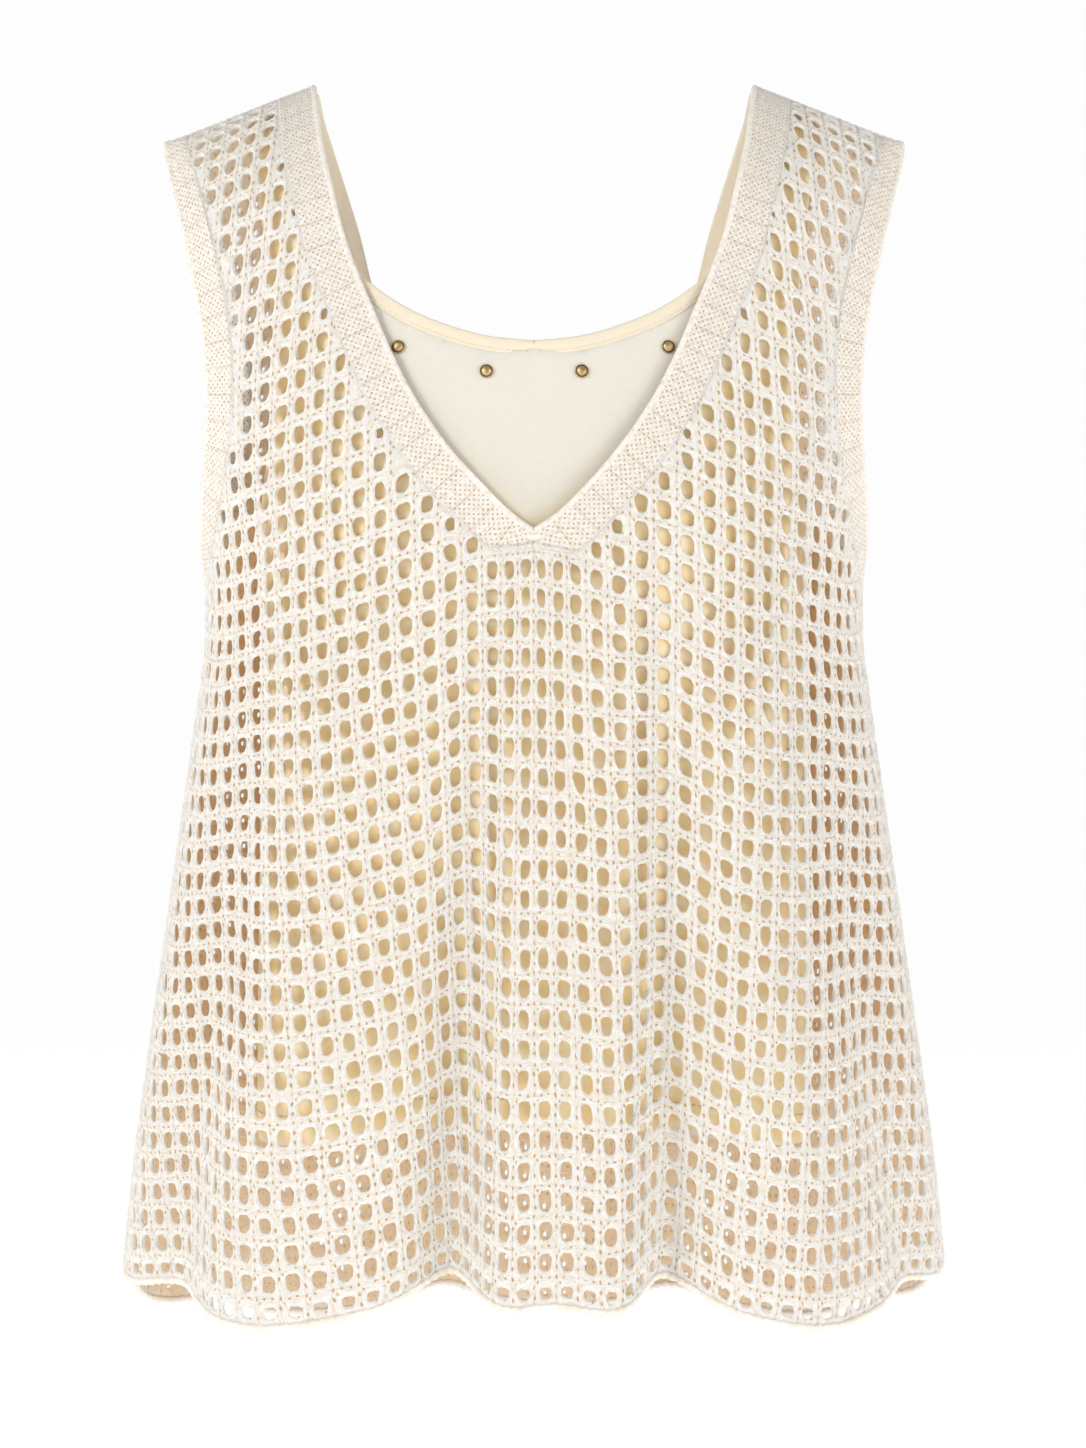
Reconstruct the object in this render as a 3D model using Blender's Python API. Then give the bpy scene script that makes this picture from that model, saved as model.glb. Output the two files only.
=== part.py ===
"""An open-knit sleeveless top with a deep V, worn over a slim woven lining.

The garment stands filled out and hollow, as it does on shoulders. Metres, +Z up. The front faces
-Y, and +X is to the right of someone who looks at the front. The origin is midway between the two
shoulder seams, on the level where the linings lie on the shoulders.

Every cloth piece is a wall on one of four shells: the knit's front and back, and the lining's
front and back. A shell is addressed by two numbers, as the knitting is: u counts across, 0 at the
middle and 1 at the side seam, and v counts down, 0 at the shoulder seam and 1 at the hem.
"""

import math

import bmesh
import bpy
import numpy as np
from mathutils import Vector

# Driving dimensions, in metres.
NECK_POINT = 0.100          # half the distance between the straps at the shoulder seams
SHOULDER_RADIUS = 0.060     # bend of the strap over the shoulder
REFERENCE_DROP = 0.560      # shoulder to hem, straight down
SEAM_GAP = 0.0003           # between two sewn pieces
KNIT_THICKNESS = 0.0018
BAND_THICKNESS = 0.0024
LINING_THICKNESS = 0.0010
BINDING_THICKNESS = 0.0016
NECK_BAND_WIDTH = 0.0190
ARMHOLE_BAND_WIDTH = 0.0175
NECK_BINDING_WIDTH = 0.0070
STRAP_SPREAD = 0.10         # how much wider the stitches lie on the shoulder than at the bust
SPREAD_START = -0.140       # height where that spread begins
HEM_SAG = 0.75              # how far a ridge hangs down, as a share of how far it stands out
LINING_DROP = 0.0036        # lining below the knit at the shoulder seam
ORIGIN_DROP = 0.0096        # origin below the neck points: the lining's underside, mid-strap

KNIT_SQUARENESS = 1.0       # 1 makes a ring an ellipse, less makes it boxier
LINING_SQUARENESS = 0.55

# Where a band passes the foot of its edge and runs on to the middle or to the side seam: its
# depth below that edge, as a share of its width.
NECK_BASE_SHARE = 0.40
BINDING_BASE_SHARE = 0.60
ARM_BASE_SHARE = 0.85

# How finely the walls are cut: the step between rows over the shoulder, on the strap and on the
# body, and the columns in the middle, across each half and at the side.
KNIT_ROW_STEPS = (0.009, 0.014, 0.019)
LINING_ROW_STEPS = (0.011, 0.013, 0.044)
KNIT_COLUMNS = (1, 9, 1)
LINING_COLUMNS = (1, 6, 0)
BAND_COLUMNS = 2
BINDING_COLUMNS = 1
BEND_REACH = 0.045          # cloth that bends over the shoulder, from its seam
NEAR_ARM_ROWS = (0.014, 0.005)  # rows just above the foot of the armhole

STUD_RADIUS = 0.0031
STUD_HEIGHT = 0.0019
STUD_SIDES = 16
STUD_PROFILE = (
    # share of the radius, share of the height
    (1.00, 0.00), (1.00, 0.22), (0.88, 0.48), (0.64, 0.78), (0.34, 0.95),
)
TAPE_INNER = 0.1115         # the tape's ends, as half-widths
TAPE_OUTER = 0.1265
TAPE_REACH = 0.0045         # how far it reaches to the front and to the back of the seam

# Ring sections of the knit: height, half-width of the whole ring, half-width at the edge of the
# armhole, depth of the front and depth of the back.
KNIT_RINGS = (
    # height,  ring,   edge,   front,  back
    (0.000, 0.1730, 0.1720, 0.050, 0.050),
    (-0.030, 0.1735, 0.1700, 0.063, 0.060),
    (-0.060, 0.1735, 0.1620, 0.075, 0.070),
    (-0.090, 0.1725, 0.1545, 0.084, 0.078),
    (-0.120, 0.1700, 0.1490, 0.091, 0.084),
    (-0.150, 0.1650, 0.1475, 0.097, 0.088),
    (-0.180, 0.1585, 0.1495, 0.102, 0.090),
    (-0.215, 0.1515, 0.1515, 0.106, 0.091),
    (-0.250, 0.1500, 0.1500, 0.109, 0.092),
    (-0.300, 0.1560, 0.1560, 0.113, 0.096),
    (-0.350, 0.1630, 0.1630, 0.117, 0.101),
    (-0.400, 0.1700, 0.1700, 0.121, 0.107),
    (-0.450, 0.1770, 0.1770, 0.126, 0.113),
    (-0.500, 0.1835, 0.1835, 0.130, 0.118),
    (-0.540, 0.1870, 0.1870, 0.133, 0.121),
    (-0.580, 0.1880, 0.1880, 0.135, 0.122),
)
KNIT_UNDERARM = -0.215

# The same for the lining, which is slim and hangs straight.
LINING_RINGS = (
    # height,  ring,   edge,   front,  back
    (0.000, 0.1420, 0.1290, 0.050, 0.050),
    (-0.040, 0.1410, 0.1260, 0.063, 0.060),
    (-0.080, 0.1390, 0.1210, 0.077, 0.071),
    (-0.120, 0.1350, 0.1170, 0.086, 0.079),
    (-0.160, 0.1300, 0.1180, 0.093, 0.083),
    (-0.205, 0.1240, 0.1240, 0.099, 0.086),
    (-0.300, 0.1240, 0.1240, 0.104, 0.089),
    (-0.400, 0.1250, 0.1250, 0.108, 0.092),
    (-0.500, 0.1260, 0.1260, 0.112, 0.095),
)
LINING_UNDERARM = -0.205

# The shoulder seam's line, carried on to the middle: half-width and height.
SHOULDER_LINE = (
    (0.000, 0.0340), (0.022, 0.0285), (0.056, 0.0165), (0.100, 0.0000),
    (0.134, -0.0125), (0.172, -0.0260), (0.200, -0.0350),
)

# Height of the hem across the panels, by u.
KNIT_HEM = (
    # u,   front,   back
    (0.00, -0.5420, -0.5710),
    (0.10, -0.5435, -0.5715),
    (0.25, -0.5465, -0.5720),
    (0.45, -0.5510, -0.5710),
    (0.60, -0.5515, -0.5710),
    (0.77, -0.5475, -0.5660),
    (0.90, -0.5400, -0.5500),
    (1.00, -0.5270, -0.5270),
)
LINING_HEM = (
    # u,   front,   back
    (0.00, -0.4690, -0.4700),
    (0.25, -0.4720, -0.4720),
    (0.50, -0.4790, -0.4750),
    (0.70, -0.4800, -0.4770),
    (0.85, -0.4790, -0.4780),
    (1.00, -0.4780, -0.4780),
)

# Soft folds that open towards the hem: u where each starts and ends (negative u is the left
# half), v where it starts, half-width in u, and how far it stands out at the hem.
FRONT_FOLDS = (
    # u top, u hem, v start, half-width, height
    (-0.12, -0.16, 0.38, 0.072, -0.0185),
    (0.31, 0.25, 0.36, 0.072, -0.0180),
    (-0.62, -0.73, 0.34, 0.095, -0.0100),
    (0.62, 0.79, 0.38, 0.090, -0.0085),
    (0.00, -0.04, 0.42, 0.070, 0.0050),
    (0.15, 0.13, 0.42, 0.070, 0.0050),
    (-0.42, -0.47, 0.42, 0.150, 0.0070),
    (0.46, 0.50, 0.42, 0.120, 0.0070),
    (-0.86, -0.88, 0.40, 0.070, 0.0035),
    (0.86, 0.88, 0.42, 0.070, 0.0035),
)
BACK_FOLDS = (
    (-0.13, -0.19, 0.42, 0.080, -0.0138),
    (0.30, 0.28, 0.38, 0.080, -0.0134),
    (-0.58, -0.69, 0.36, 0.095, -0.0105),
    (0.60, 0.74, 0.40, 0.090, -0.0095),
    (0.07, 0.05, 0.46, 0.095, 0.0065),
    (-0.40, -0.43, 0.44, 0.130, 0.0065),
    (0.46, 0.50, 0.44, 0.110, 0.0065),
    (-0.84, -0.87, 0.40, 0.080, 0.0040),
)
LINING_FRONT_FOLDS = (
    (-0.35, -0.30, 0.50, 0.16, -0.0030),
    (0.28, 0.36, 0.50, 0.16, -0.0030),
    (0.02, 0.04, 0.55, 0.14, 0.0020),
)
LINING_BACK_FOLDS = (
    (-0.22, -0.28, 0.50, 0.16, -0.0030),
    (0.30, 0.26, 0.50, 0.16, -0.0030),
)

# Neck edges, from the shoulder down to the middle: height and half-width.
FRONT_NECK = (
    (0.000, NECK_POINT), (-0.014, 0.0975), (-0.030, 0.0950), (-0.047, 0.0910), (-0.075, 0.0840),
    (-0.106, 0.0720), (-0.148, 0.0525), (-0.185, 0.0250), (-0.201, 0.0085), (-0.2065, 0.0),
)
BACK_NECK = (
    (0.000, NECK_POINT), (-0.020, 0.0990), (-0.050, 0.0950), (-0.085, 0.0870), (-0.120, 0.0740),
    (-0.155, 0.0500), (-0.182, 0.0220), (-0.194, 0.0080), (-0.199, 0.0),
)
LINING_FRONT_NECK = (
    (-0.003, 0.1030), (-0.020, 0.1010), (-0.047, 0.0960), (-0.075, 0.0880), (-0.091, 0.0785),
    (-0.1005, 0.0675), (-0.1080, 0.0560), (-0.1155, 0.0390), (-0.1210, 0.0200), (-0.1230, 0.0),
)
LINING_BACK_NECK = (
    (-0.003, 0.0990), (-0.010, 0.0980), (-0.024, 0.0940), (-0.043, 0.0880), (-0.063, 0.0820),
    (-0.084, 0.0770), (-0.115, 0.0660), (-0.140, 0.0470), (-0.155, 0.0240), (-0.160, 0.0),
)

# The four studs on the lining's front: distance from the middle and height.
STUDS = (
    # name, across, height
    ("stud_1", -0.0598, -0.1258),
    ("stud_2", -0.0208, -0.1370),
    ("stud_3", 0.0212, -0.1370),
    ("stud_4", 0.0594, -0.1258),
)

KNIT_COLOUR = (0.87, 0.82, 0.73)
BAND_COLOUR = (0.88, 0.83, 0.75)
LINING_COLOUR = (0.86, 0.80, 0.68)
BINDING_COLOUR = (0.89, 0.82, 0.67)
TAPE_COLOUR = (0.85, 0.79, 0.69)
STUD_COLOUR = (0.36, 0.25, 0.12)
CLOTH_ROUGHNESS = 0.9
STUD_ROUGHNESS = 0.35
STUD_SMOOTH_ANGLE = 40.0


def spline(xs, ys, x):
    """A smooth curve through the points, evaluated at x (a Catmull-Rom spline in Hermite form)."""
    xs = np.asarray(xs, dtype=float)
    ys = np.asarray(ys, dtype=float)
    if xs[0] > xs[-1]:
        xs = xs[::-1]
        ys = ys[::-1]
    slopes = np.gradient(ys, xs)
    x = np.clip(x, xs[0], xs[-1])
    k = np.clip(np.searchsorted(xs, x, side="right") - 1, 0, len(xs) - 2)
    width = xs[k + 1] - xs[k]
    t = (x - xs[k]) / width
    rise = (3 - 2 * t) * t * t
    lead = t * (1 - t) ** 2 * width * slopes[k]
    trail = t * t * (t - 1) * width * slopes[k + 1]
    return ys[k] * (1 - rise) + ys[k + 1] * rise + lead + trail


def drop_of_arc(arc):
    """Height lost after an arc length over the shoulder's bend and then straight down."""
    bend = SHOULDER_RADIUS * math.pi / 2
    on_bend = SHOULDER_RADIUS * (1 - np.cos(np.minimum(arc, bend) / SHOULDER_RADIUS))
    return on_bend + np.maximum(arc - bend, 0.0)


def arc_of_drop(drop):
    """The inverse of drop_of_arc."""
    on_bend = np.minimum(drop, SHOULDER_RADIUS)
    arc = SHOULDER_RADIUS * np.arccos(1 - on_bend / SHOULDER_RADIUS)
    return arc + np.maximum(drop - SHOULDER_RADIUS, 0.0)


TOTAL_ARC = float(arc_of_drop(REFERENCE_DROP))


class Shell:
    """The middle surface of one layer's front or back."""

    ANGLES = np.linspace(0.0, math.pi / 2, 181)
    SHARES = np.linspace(0.0, 1.0, 121)

    def __init__(self, side, rings, underarm, squareness, hem, lowered, folds):
        self.side = side                      # -1 for the front, +1 for the back
        self.squareness = squareness          # 1 is an ellipse, less is boxier
        self.underarm = underarm
        self.folds = folds
        self.rings = np.array(rings)
        self.hem = np.array(hem)
        self.depth_column = 3 if side < 0 else 4
        self.hem_column = 1 if side < 0 else 2
        self.heights = np.linspace(self.rings[-1, 0], 0.0, 141)
        self.angle_table = []
        quarter = []
        for height in self.heights:
            arcs = self.arcs_at(height)
            quarter.append(arcs[-1])
            self.angle_table.append(np.interp(self.SHARES, arcs / arcs[-1], self.ANGLES))
        self.angle_table = np.array(self.angle_table)
        self.quarter = np.array(quarter)
        self.columns = np.linspace(0.0, 1.0, 101)
        top = self.columns * self.width(0.0)
        shoulder_x = self.section(self.angle(top, 0.0 * top), 0.0 * top)[0]
        line = np.array(SHOULDER_LINE)
        self.shoulder = spline(line[:, 0], line[:, 1], shoulder_x) - lowered

    def ring(self, column, z):
        return spline(self.rings[:, 0], self.rings[:, column], z)

    def section(self, angle, z):
        """Half-width and depth of the ring at an angle from the middle."""
        x = self.ring(1, z) * np.sin(angle)
        y = self.ring(self.depth_column, z) * np.cos(angle) ** self.squareness
        return x, y

    def arcs_at(self, z):
        x, y = self.section(self.ANGLES, z)
        steps = np.hypot(np.diff(x), np.diff(y))
        return np.concatenate(([0.0], np.cumsum(steps)))

    def width(self, z):
        """Arc length that u = 1 stands for at a height."""
        at_bust = np.interp(self.underarm, self.heights, self.quarter)
        spread = np.clip((z - SPREAD_START) / -SPREAD_START, 0.0, 1.0)
        above = at_bust * (1 + STRAP_SPREAD * spread ** 1.5)
        below = np.interp(z, self.heights, self.quarter)
        return np.where(z > self.underarm, above, below)

    def angle(self, arc, z):
        """Angle on the ring after an arc length from the middle."""
        share = arc / np.interp(z, self.heights, self.quarter)
        row = (z - self.heights[0]) / (self.heights[1] - self.heights[0])
        low = np.clip(np.floor(row).astype(int), 0, len(self.heights) - 2)
        part = np.clip(row - low, 0.0, 1.0)
        place = np.clip(share, 0.0, 1.0) * (len(self.SHARES) - 1)
        left = np.clip(np.floor(place).astype(int), 0, len(self.SHARES) - 2)
        along = place - left
        table = self.angle_table
        lower = table[low, left] * (1 - along) + table[low, left + 1] * along
        upper = table[low + 1, left] * (1 - along) + table[low + 1, left + 1] * along
        return lower * (1 - part) + upper * part

    def seam_heights(self, u):
        shoulder = np.interp(u, self.columns, self.shoulder)
        hem = spline(self.hem[:, 0], self.hem[:, self.hem_column], u)
        return shoulder, hem

    def fold(self, sign, u, v):
        """How far the cloth stands out from its plain ring."""
        signed = sign * u
        total = np.zeros_like(signed + v)
        for u_top, u_hem, v_start, half_width, height in self.folds:
            grown = np.clip((v - v_start) / (1 - v_start), 0.0, 1.0)
            centre = u_top + (u_hem - u_top) * grown
            total += height * grown * np.exp(-((signed - centre) / half_width) ** 2)
        return total * (1 - np.clip(u, 0.0, 1.0) ** 8)

    def points(self, sign, u, v):
        """Points of the middle surface, as an array with x, y and z last."""
        u = np.asarray(u, dtype=float)
        v = np.asarray(v, dtype=float)
        shoulder, hem = self.seam_heights(u)
        down = drop_of_arc(v * TOTAL_ARC) / REFERENCE_DROP
        z = shoulder + (hem - shoulder) * down
        angle = self.angle(u * self.width(z), z)
        x, y = self.section(angle, z)
        bend = np.clip((shoulder - z) / SHOULDER_RADIUS, 0.0, 1.0)
        y = y * np.sqrt(1 - (1 - bend) ** 2)
        out = self.fold(sign, u, v)
        out_x = np.sin(angle)
        out_y = np.cos(angle)
        return np.stack((sign * (x + out * out_x), self.side * (y + out * out_y),
                         z - HEM_SAG * out + ORIGIN_DROP), axis=-1)

    def normals(self, sign, u, v):
        """Unit normals, facing out of the garment."""
        step = 0.0005
        high_u = np.minimum(u + step, 1.0)
        low_u = np.maximum(u - step, 0.0)
        across = self.points(sign, high_u, v) - self.points(sign, low_u, v)
        high_v = np.minimum(v + step, 1.0)
        low_v = np.maximum(v - step, 0.0)
        down = self.points(sign, u, high_v) - self.points(sign, u, low_v)
        normal = np.cross(down, across) * (-self.side * sign)
        return normal / np.linalg.norm(normal, axis=-1, keepdims=True)

    def locate(self, arc, z):
        """u and v of a point given by its arc length from the middle and its height."""
        u = arc / self.width(z)
        shoulder, hem = self.seam_heights(u)
        down = np.clip((shoulder - z) / (shoulder - hem), 0.0, 1.0)
        return u, arc_of_drop(down * REFERENCE_DROP) / TOTAL_ARC

    def arc_at(self, x, z):
        """Arc length from the middle to a half-width."""
        angle = np.arcsin(np.clip(x / self.ring(1, z), 0.0, 1.0))
        return float(np.interp(angle, self.ANGLES, self.arcs_at(z)))


def finer(points, step):
    """Points along a smooth curve through the given ones, about one step apart."""
    points = np.array(points)
    chords = np.hypot(*np.diff(points, axis=0).T)
    along = np.concatenate(([0.0], np.cumsum(chords)))
    count = max(2, int(round(along[-1] / step)) + 1)
    places = np.linspace(0.0, along[-1], count)
    return np.stack([spline(along, points[:, k], places) for k in (0, 1)], axis=1)


def offset(curve, distance):
    """A curve beside another one, to the left of its direction."""
    tangent = np.gradient(curve, axis=0)
    tangent /= np.linalg.norm(tangent, axis=1, keepdims=True)
    return curve + distance * np.stack((-tangent[:, 1], tangent[:, 0]), axis=1)


class Edge:
    """A line on a shell: u as a function of v, from the shoulder down."""

    def __init__(self, shell, curve):
        arcs, heights = curve[:, 0], curve[:, 1]
        u, v = shell.locate(np.maximum(arcs, 0.0), heights)
        order = np.argsort(v, kind="stable")
        self.v = v[order]
        self.u = np.where(arcs[order] <= 0.0, 0.0, u[order])

    def at(self, v):
        return float(np.interp(v, self.v, self.u))


def neck_curve(shell, table):
    """The neck edge as arc length and height, from the shoulder to the middle."""
    fine = finer([(x, z) for z, x in table], 0.004)
    return np.array([(shell.arc_at(x, z), z) for x, z in fine])


def armhole_curve(shell):
    """The armhole edge as arc length and height, from the shoulder to the side seam."""
    heights = shell.underarm * (1 - np.linspace(1.0, 0.0, 60) ** 2)
    rows = []
    for z in heights:
        arc = shell.arc_at(min(float(shell.ring(2, z)), float(shell.ring(1, z))), z)
        rows.append((arc, z))
    rows[-1] = (float(shell.width(shell.underarm)), shell.underarm)
    return np.array(rows)


def level_of(shell, u, z):
    """v of a height on a column."""
    shoulder, hem = shell.seam_heights(np.array(u))
    down = float((shoulder - z) / (shoulder - hem))
    return float(arc_of_drop(down * REFERENCE_DROP)) / TOTAL_ARC


def levels(stops, steps):
    """v levels that include every stop, with the given largest step after each."""
    result = [stops[0]]
    for start, end, step in zip(stops, stops[1:], steps):
        count = max(1, math.ceil((end - start) * TOTAL_ARC / step - 1e-6))
        for k in range(1, count + 1):
            result.append(start + (end - start) * k / count)
    return result


def add_object(name, mesh_bm, colour, roughness, metallic=0.0, smooth_angle=50.0):
    bmesh.ops.recalc_face_normals(mesh_bm, faces=mesh_bm.faces)
    mesh = bpy.data.meshes.new(name)
    mesh_bm.to_mesh(mesh)
    mesh_bm.free()
    mesh.shade_smooth()
    mesh.set_sharp_from_angle(angle=math.radians(smooth_angle))
    material = bpy.data.materials.new(name + "_material")
    material.use_nodes = True
    shader = material.node_tree.nodes["Principled BSDF"]
    shader.inputs["Base Color"].default_value = (*colour, 1.0)
    shader.inputs["Roughness"].default_value = roughness
    shader.inputs["Metallic"].default_value = metallic
    mesh.materials.append(material)
    item = bpy.data.objects.new(name, mesh)
    bpy.context.scene.collection.objects.link(item)
    return item


def wall(name, shell, cells, thickness, colour):
    """A closed wall of even thickness.

    cells is a list of (sign, corners): sign is the half, +1 or -1, and the four corners are
    (u, v) pairs, going down and then outwards.
    """
    keys = {}
    faces = []
    for sign, corners in cells:
        face = []
        for u, v in corners:
            half = sign if u > 1e-9 else 0
            key = (half, round(u, 7), round(v, 7))
            if key not in keys:
                keys[key] = (len(keys), sign, u, v)
            face.append(keys[key][0])
        faces.append(face if sign * shell.side < 0 else face[::-1])
    rows = sorted(keys.values())
    signs = np.array([row[1] for row in rows], dtype=float)
    us = np.array([row[2] for row in rows])
    vs = np.array([row[3] for row in rows])
    middle = np.zeros((len(rows), 3))
    normal = np.zeros((len(rows), 3))
    for sign in (-1.0, 1.0):
        chosen = signs == sign
        middle[chosen] = shell.points(sign, us[chosen], vs[chosen])
        normal[chosen] = shell.normals(sign, us[chosen], vs[chosen])
    centre = us < 1e-9
    if centre.any():
        mirrored = shell.normals(-1.0, us[centre], vs[centre])
        mirrored = mirrored + shell.normals(1.0, us[centre], vs[centre])
        normal[centre] = mirrored / np.linalg.norm(mirrored, axis=-1, keepdims=True)

    bm = bmesh.new()
    half = thickness / 2
    outer = [bm.verts.new(p + n * half) for p, n in zip(middle, normal)]
    inner = [bm.verts.new(p - n * half) for p, n in zip(middle, normal)]
    directed = set()
    for face in faces:
        bm.faces.new([outer[k] for k in face])
        bm.faces.new([inner[k] for k in reversed(face)])
        directed.update(zip(face, face[1:] + face[:1]))
    for a, b in sorted(directed):
        if (b, a) not in directed:
            bm.faces.new((outer[b], outer[a], inner[a], inner[b]))
    bmesh.ops.triangulate(bm, faces=bm.faces[:])
    return add_object(name, bm, colour, CLOTH_ROUGHNESS)


def spread(start, end, count):
    return [start + (end - start) * k / count for k in range(count + 1)]


def grid_cells(sign, u_rows, v_rows):
    """Cells of a grid whose corners are u_rows[j][i], v_rows[j][i]."""
    cells = []
    for j in range(len(u_rows) - 1):
        for i in range(len(u_rows[j]) - 1):
            corners = [
                (u_rows[j][i], v_rows[j][i]),
                (u_rows[j + 1][i], v_rows[j + 1][i]),
                (u_rows[j + 1][i + 1], v_rows[j + 1][i + 1]),
                (u_rows[j][i + 1], v_rows[j][i + 1]),
            ]
            cells.append((sign, corners))
    return cells


class Panel:
    """The seams that part one shell into neck band, cloth and armhole bands."""

    def __init__(self, shell, neck_table, neck_width, neck_base_share, armhole_width, row_steps):
        self.shell = shell
        gap = SEAM_GAP / 2
        neck = neck_curve(shell, neck_table)
        armhole = armhole_curve(shell)
        self.neck_edge = Edge(shell, neck)
        self.neck_band_seam = Edge(shell, offset(neck, neck_width - gap))
        self.neck_cloth_seam = Edge(shell, offset(neck, neck_width + gap))
        self.armhole_edge = Edge(shell, armhole)
        self.armhole_band_seam = Edge(shell, offset(armhole, -armhole_width + gap))
        self.armhole_cloth_seam = self.armhole_edge
        if armhole_width:
            self.armhole_cloth_seam = Edge(shell, offset(armhole, -armhole_width - gap))
        self.has_armhole_band = armhole_width > 0
        tip_height = neck_table[-1][0]
        self.neck_tip = level_of(shell, 0.0, tip_height)
        self.neck_base = level_of(shell, 0.0, tip_height - neck_base_share * neck_width)
        self.arm_tip = level_of(shell, 1.0, shell.underarm)
        self.arm_base = level_of(shell, 1.0, shell.underarm - ARM_BASE_SHARE * armhole_width)
        self.gap_v = gap / TOTAL_ARC
        self.last_u = 1 - gap / float(shell.width(shell.underarm))
        self.rows = self.row_levels(*row_steps)

    def row_levels(self, bend_step, strap_step, body_step):
        bend = BEND_REACH / TOTAL_ARC
        near_arm = [self.arm_tip - above / TOTAL_ARC for above in NEAR_ARM_ROWS]
        stops = {0.0, bend, self.neck_tip, self.neck_base, self.arm_tip, self.arm_base, 1.0}
        stops = sorted(stops.union(near_arm))
        rows = [0.0]
        for start, end in zip(stops, stops[1:]):
            step = bend_step if start < bend else strap_step
            if start >= max(self.neck_base, self.arm_base):
                step = body_step
            count = max(1, math.ceil((end - start) * TOTAL_ARC / step - 0.2))
            rows.extend(spread(start, end, count)[1:])
        return rows

    def shift(self, v):
        """A row's level, with the seam's gap taken off at the shoulder."""
        return max(v, self.gap_v)

    def neck_band_cells(self, columns):
        cells = []
        rows = [v for v in self.rows if v <= self.neck_base + 1e-9]
        levels = [self.shift(v) for v in rows[:-1]] + [rows[-1] - self.gap_v]
        for sign in (-1, 1):
            u_rows = []
            for v in levels:
                start = 0.0 if v > self.neck_tip - 1e-7 else self.neck_edge.at(v)
                u_rows.append(spread(start, self.neck_band_seam.at(v), columns))
            v_rows = [[v] * (columns + 1) for v in levels]
            cells.extend(grid_cells(sign, u_rows, v_rows))
        return cells

    def armhole_band_cells(self, sign, columns):
        rows = [v for v in self.rows if v <= self.arm_base + 1e-9]
        levels = [self.shift(v) for v in rows[:-1]] + [rows[-1] - self.gap_v]
        u_rows = []
        for v in levels:
            end = self.last_u if v > self.arm_tip - 1e-7 else self.armhole_edge.at(v)
            u_rows.append(spread(self.armhole_band_seam.at(v), min(end, self.last_u), columns))
        v_rows = [[v] * (columns + 1) for v in levels]
        return grid_cells(sign, u_rows, v_rows)

    def cloth_cells(self, centre_columns, columns, side_columns):
        neck_corner = self.neck_cloth_seam.at(self.neck_base + self.gap_v)
        arm_corner = self.armhole_cloth_seam.at(self.arm_base + self.gap_v)
        low_neck = self.neck_base - 1e-9
        low_arm = self.arm_base - 1e-9
        cells = []
        for sign in (-1, 1):
            u_rows, v_rows = [], []
            centre_u, centre_v, side_u, side_v = [], [], [], []
            for v in self.rows:
                level = self.shift(v)
                start = neck_corner if v > low_neck else self.neck_cloth_seam.at(level)
                end = min(self.armhole_cloth_seam.at(level), self.last_u)
                if v > low_arm:
                    end = arm_corner if self.has_armhole_band else self.last_u
                shares = spread(start, end, columns)
                own = [level] * (columns + 1)
                at_neck_base = abs(v - self.neck_base) < 1e-9
                at_arm_base = abs(v - self.arm_base) < 1e-9 and self.has_armhole_band
                if at_neck_base:
                    own[0] = level + self.gap_v
                if at_arm_base:
                    own[-1] = level + self.gap_v
                u_rows.append(shares)
                v_rows.append(own)
                if v > low_neck:
                    shift = self.gap_v if at_neck_base else 0.0
                    centre_u.append(spread(0.0, start, centre_columns))
                    centre_v.append([level + shift] * (centre_columns + 1))
                if v > low_arm and self.has_armhole_band:
                    shift = self.gap_v if at_arm_base else 0.0
                    side_u.append(spread(end, self.last_u, side_columns))
                    side_v.append([level + shift] * (side_columns + 1))
            cells.extend(grid_cells(sign, u_rows, v_rows))
            cells.extend(grid_cells(sign, centre_u, centre_v))
            cells.extend(grid_cells(sign, side_u, side_v))
        return cells


def stud(name, shell, across, height):
    """A domed metal stud that stands on the lining."""
    bm = bmesh.new()
    loops = []
    for radius_share, height_share in STUD_PROFILE:
        loop = []
        for k in range(STUD_SIDES):
            turn = 2 * math.pi * k / STUD_SIDES
            radius = STUD_RADIUS * radius_share
            place = (radius * math.cos(turn), radius * math.sin(turn), STUD_HEIGHT * height_share)
            loop.append(bm.verts.new(place))
        loops.append(loop)
    for low, high in zip(loops, loops[1:]):
        for k in range(STUD_SIDES):
            after = (k + 1) % STUD_SIDES
            bm.faces.new((low[k], low[after], high[after], high[k]))
    bm.faces.new(loops[0][::-1])
    top = bm.verts.new((0.0, 0.0, STUD_HEIGHT))
    for k in range(STUD_SIDES):
        bm.faces.new((loops[-1][k], loops[-1][(k + 1) % STUD_SIDES], top))
    item = add_object(name, bm, STUD_COLOUR, STUD_ROUGHNESS, 1.0, STUD_SMOOTH_ANGLE)
    sign = math.copysign(1.0, across)
    u, v = shell.locate(shell.arc_at(abs(across), height), height)
    middle = Vector(shell.points(sign, u, v))
    normal = Vector(shell.normals(sign, u, v))
    item.location = middle + normal * (LINING_THICKNESS / 2 + SEAM_GAP)
    item.rotation_mode = "QUATERNION"
    item.rotation_quaternion = normal.to_track_quat("Z", "Y")
    return item


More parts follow.
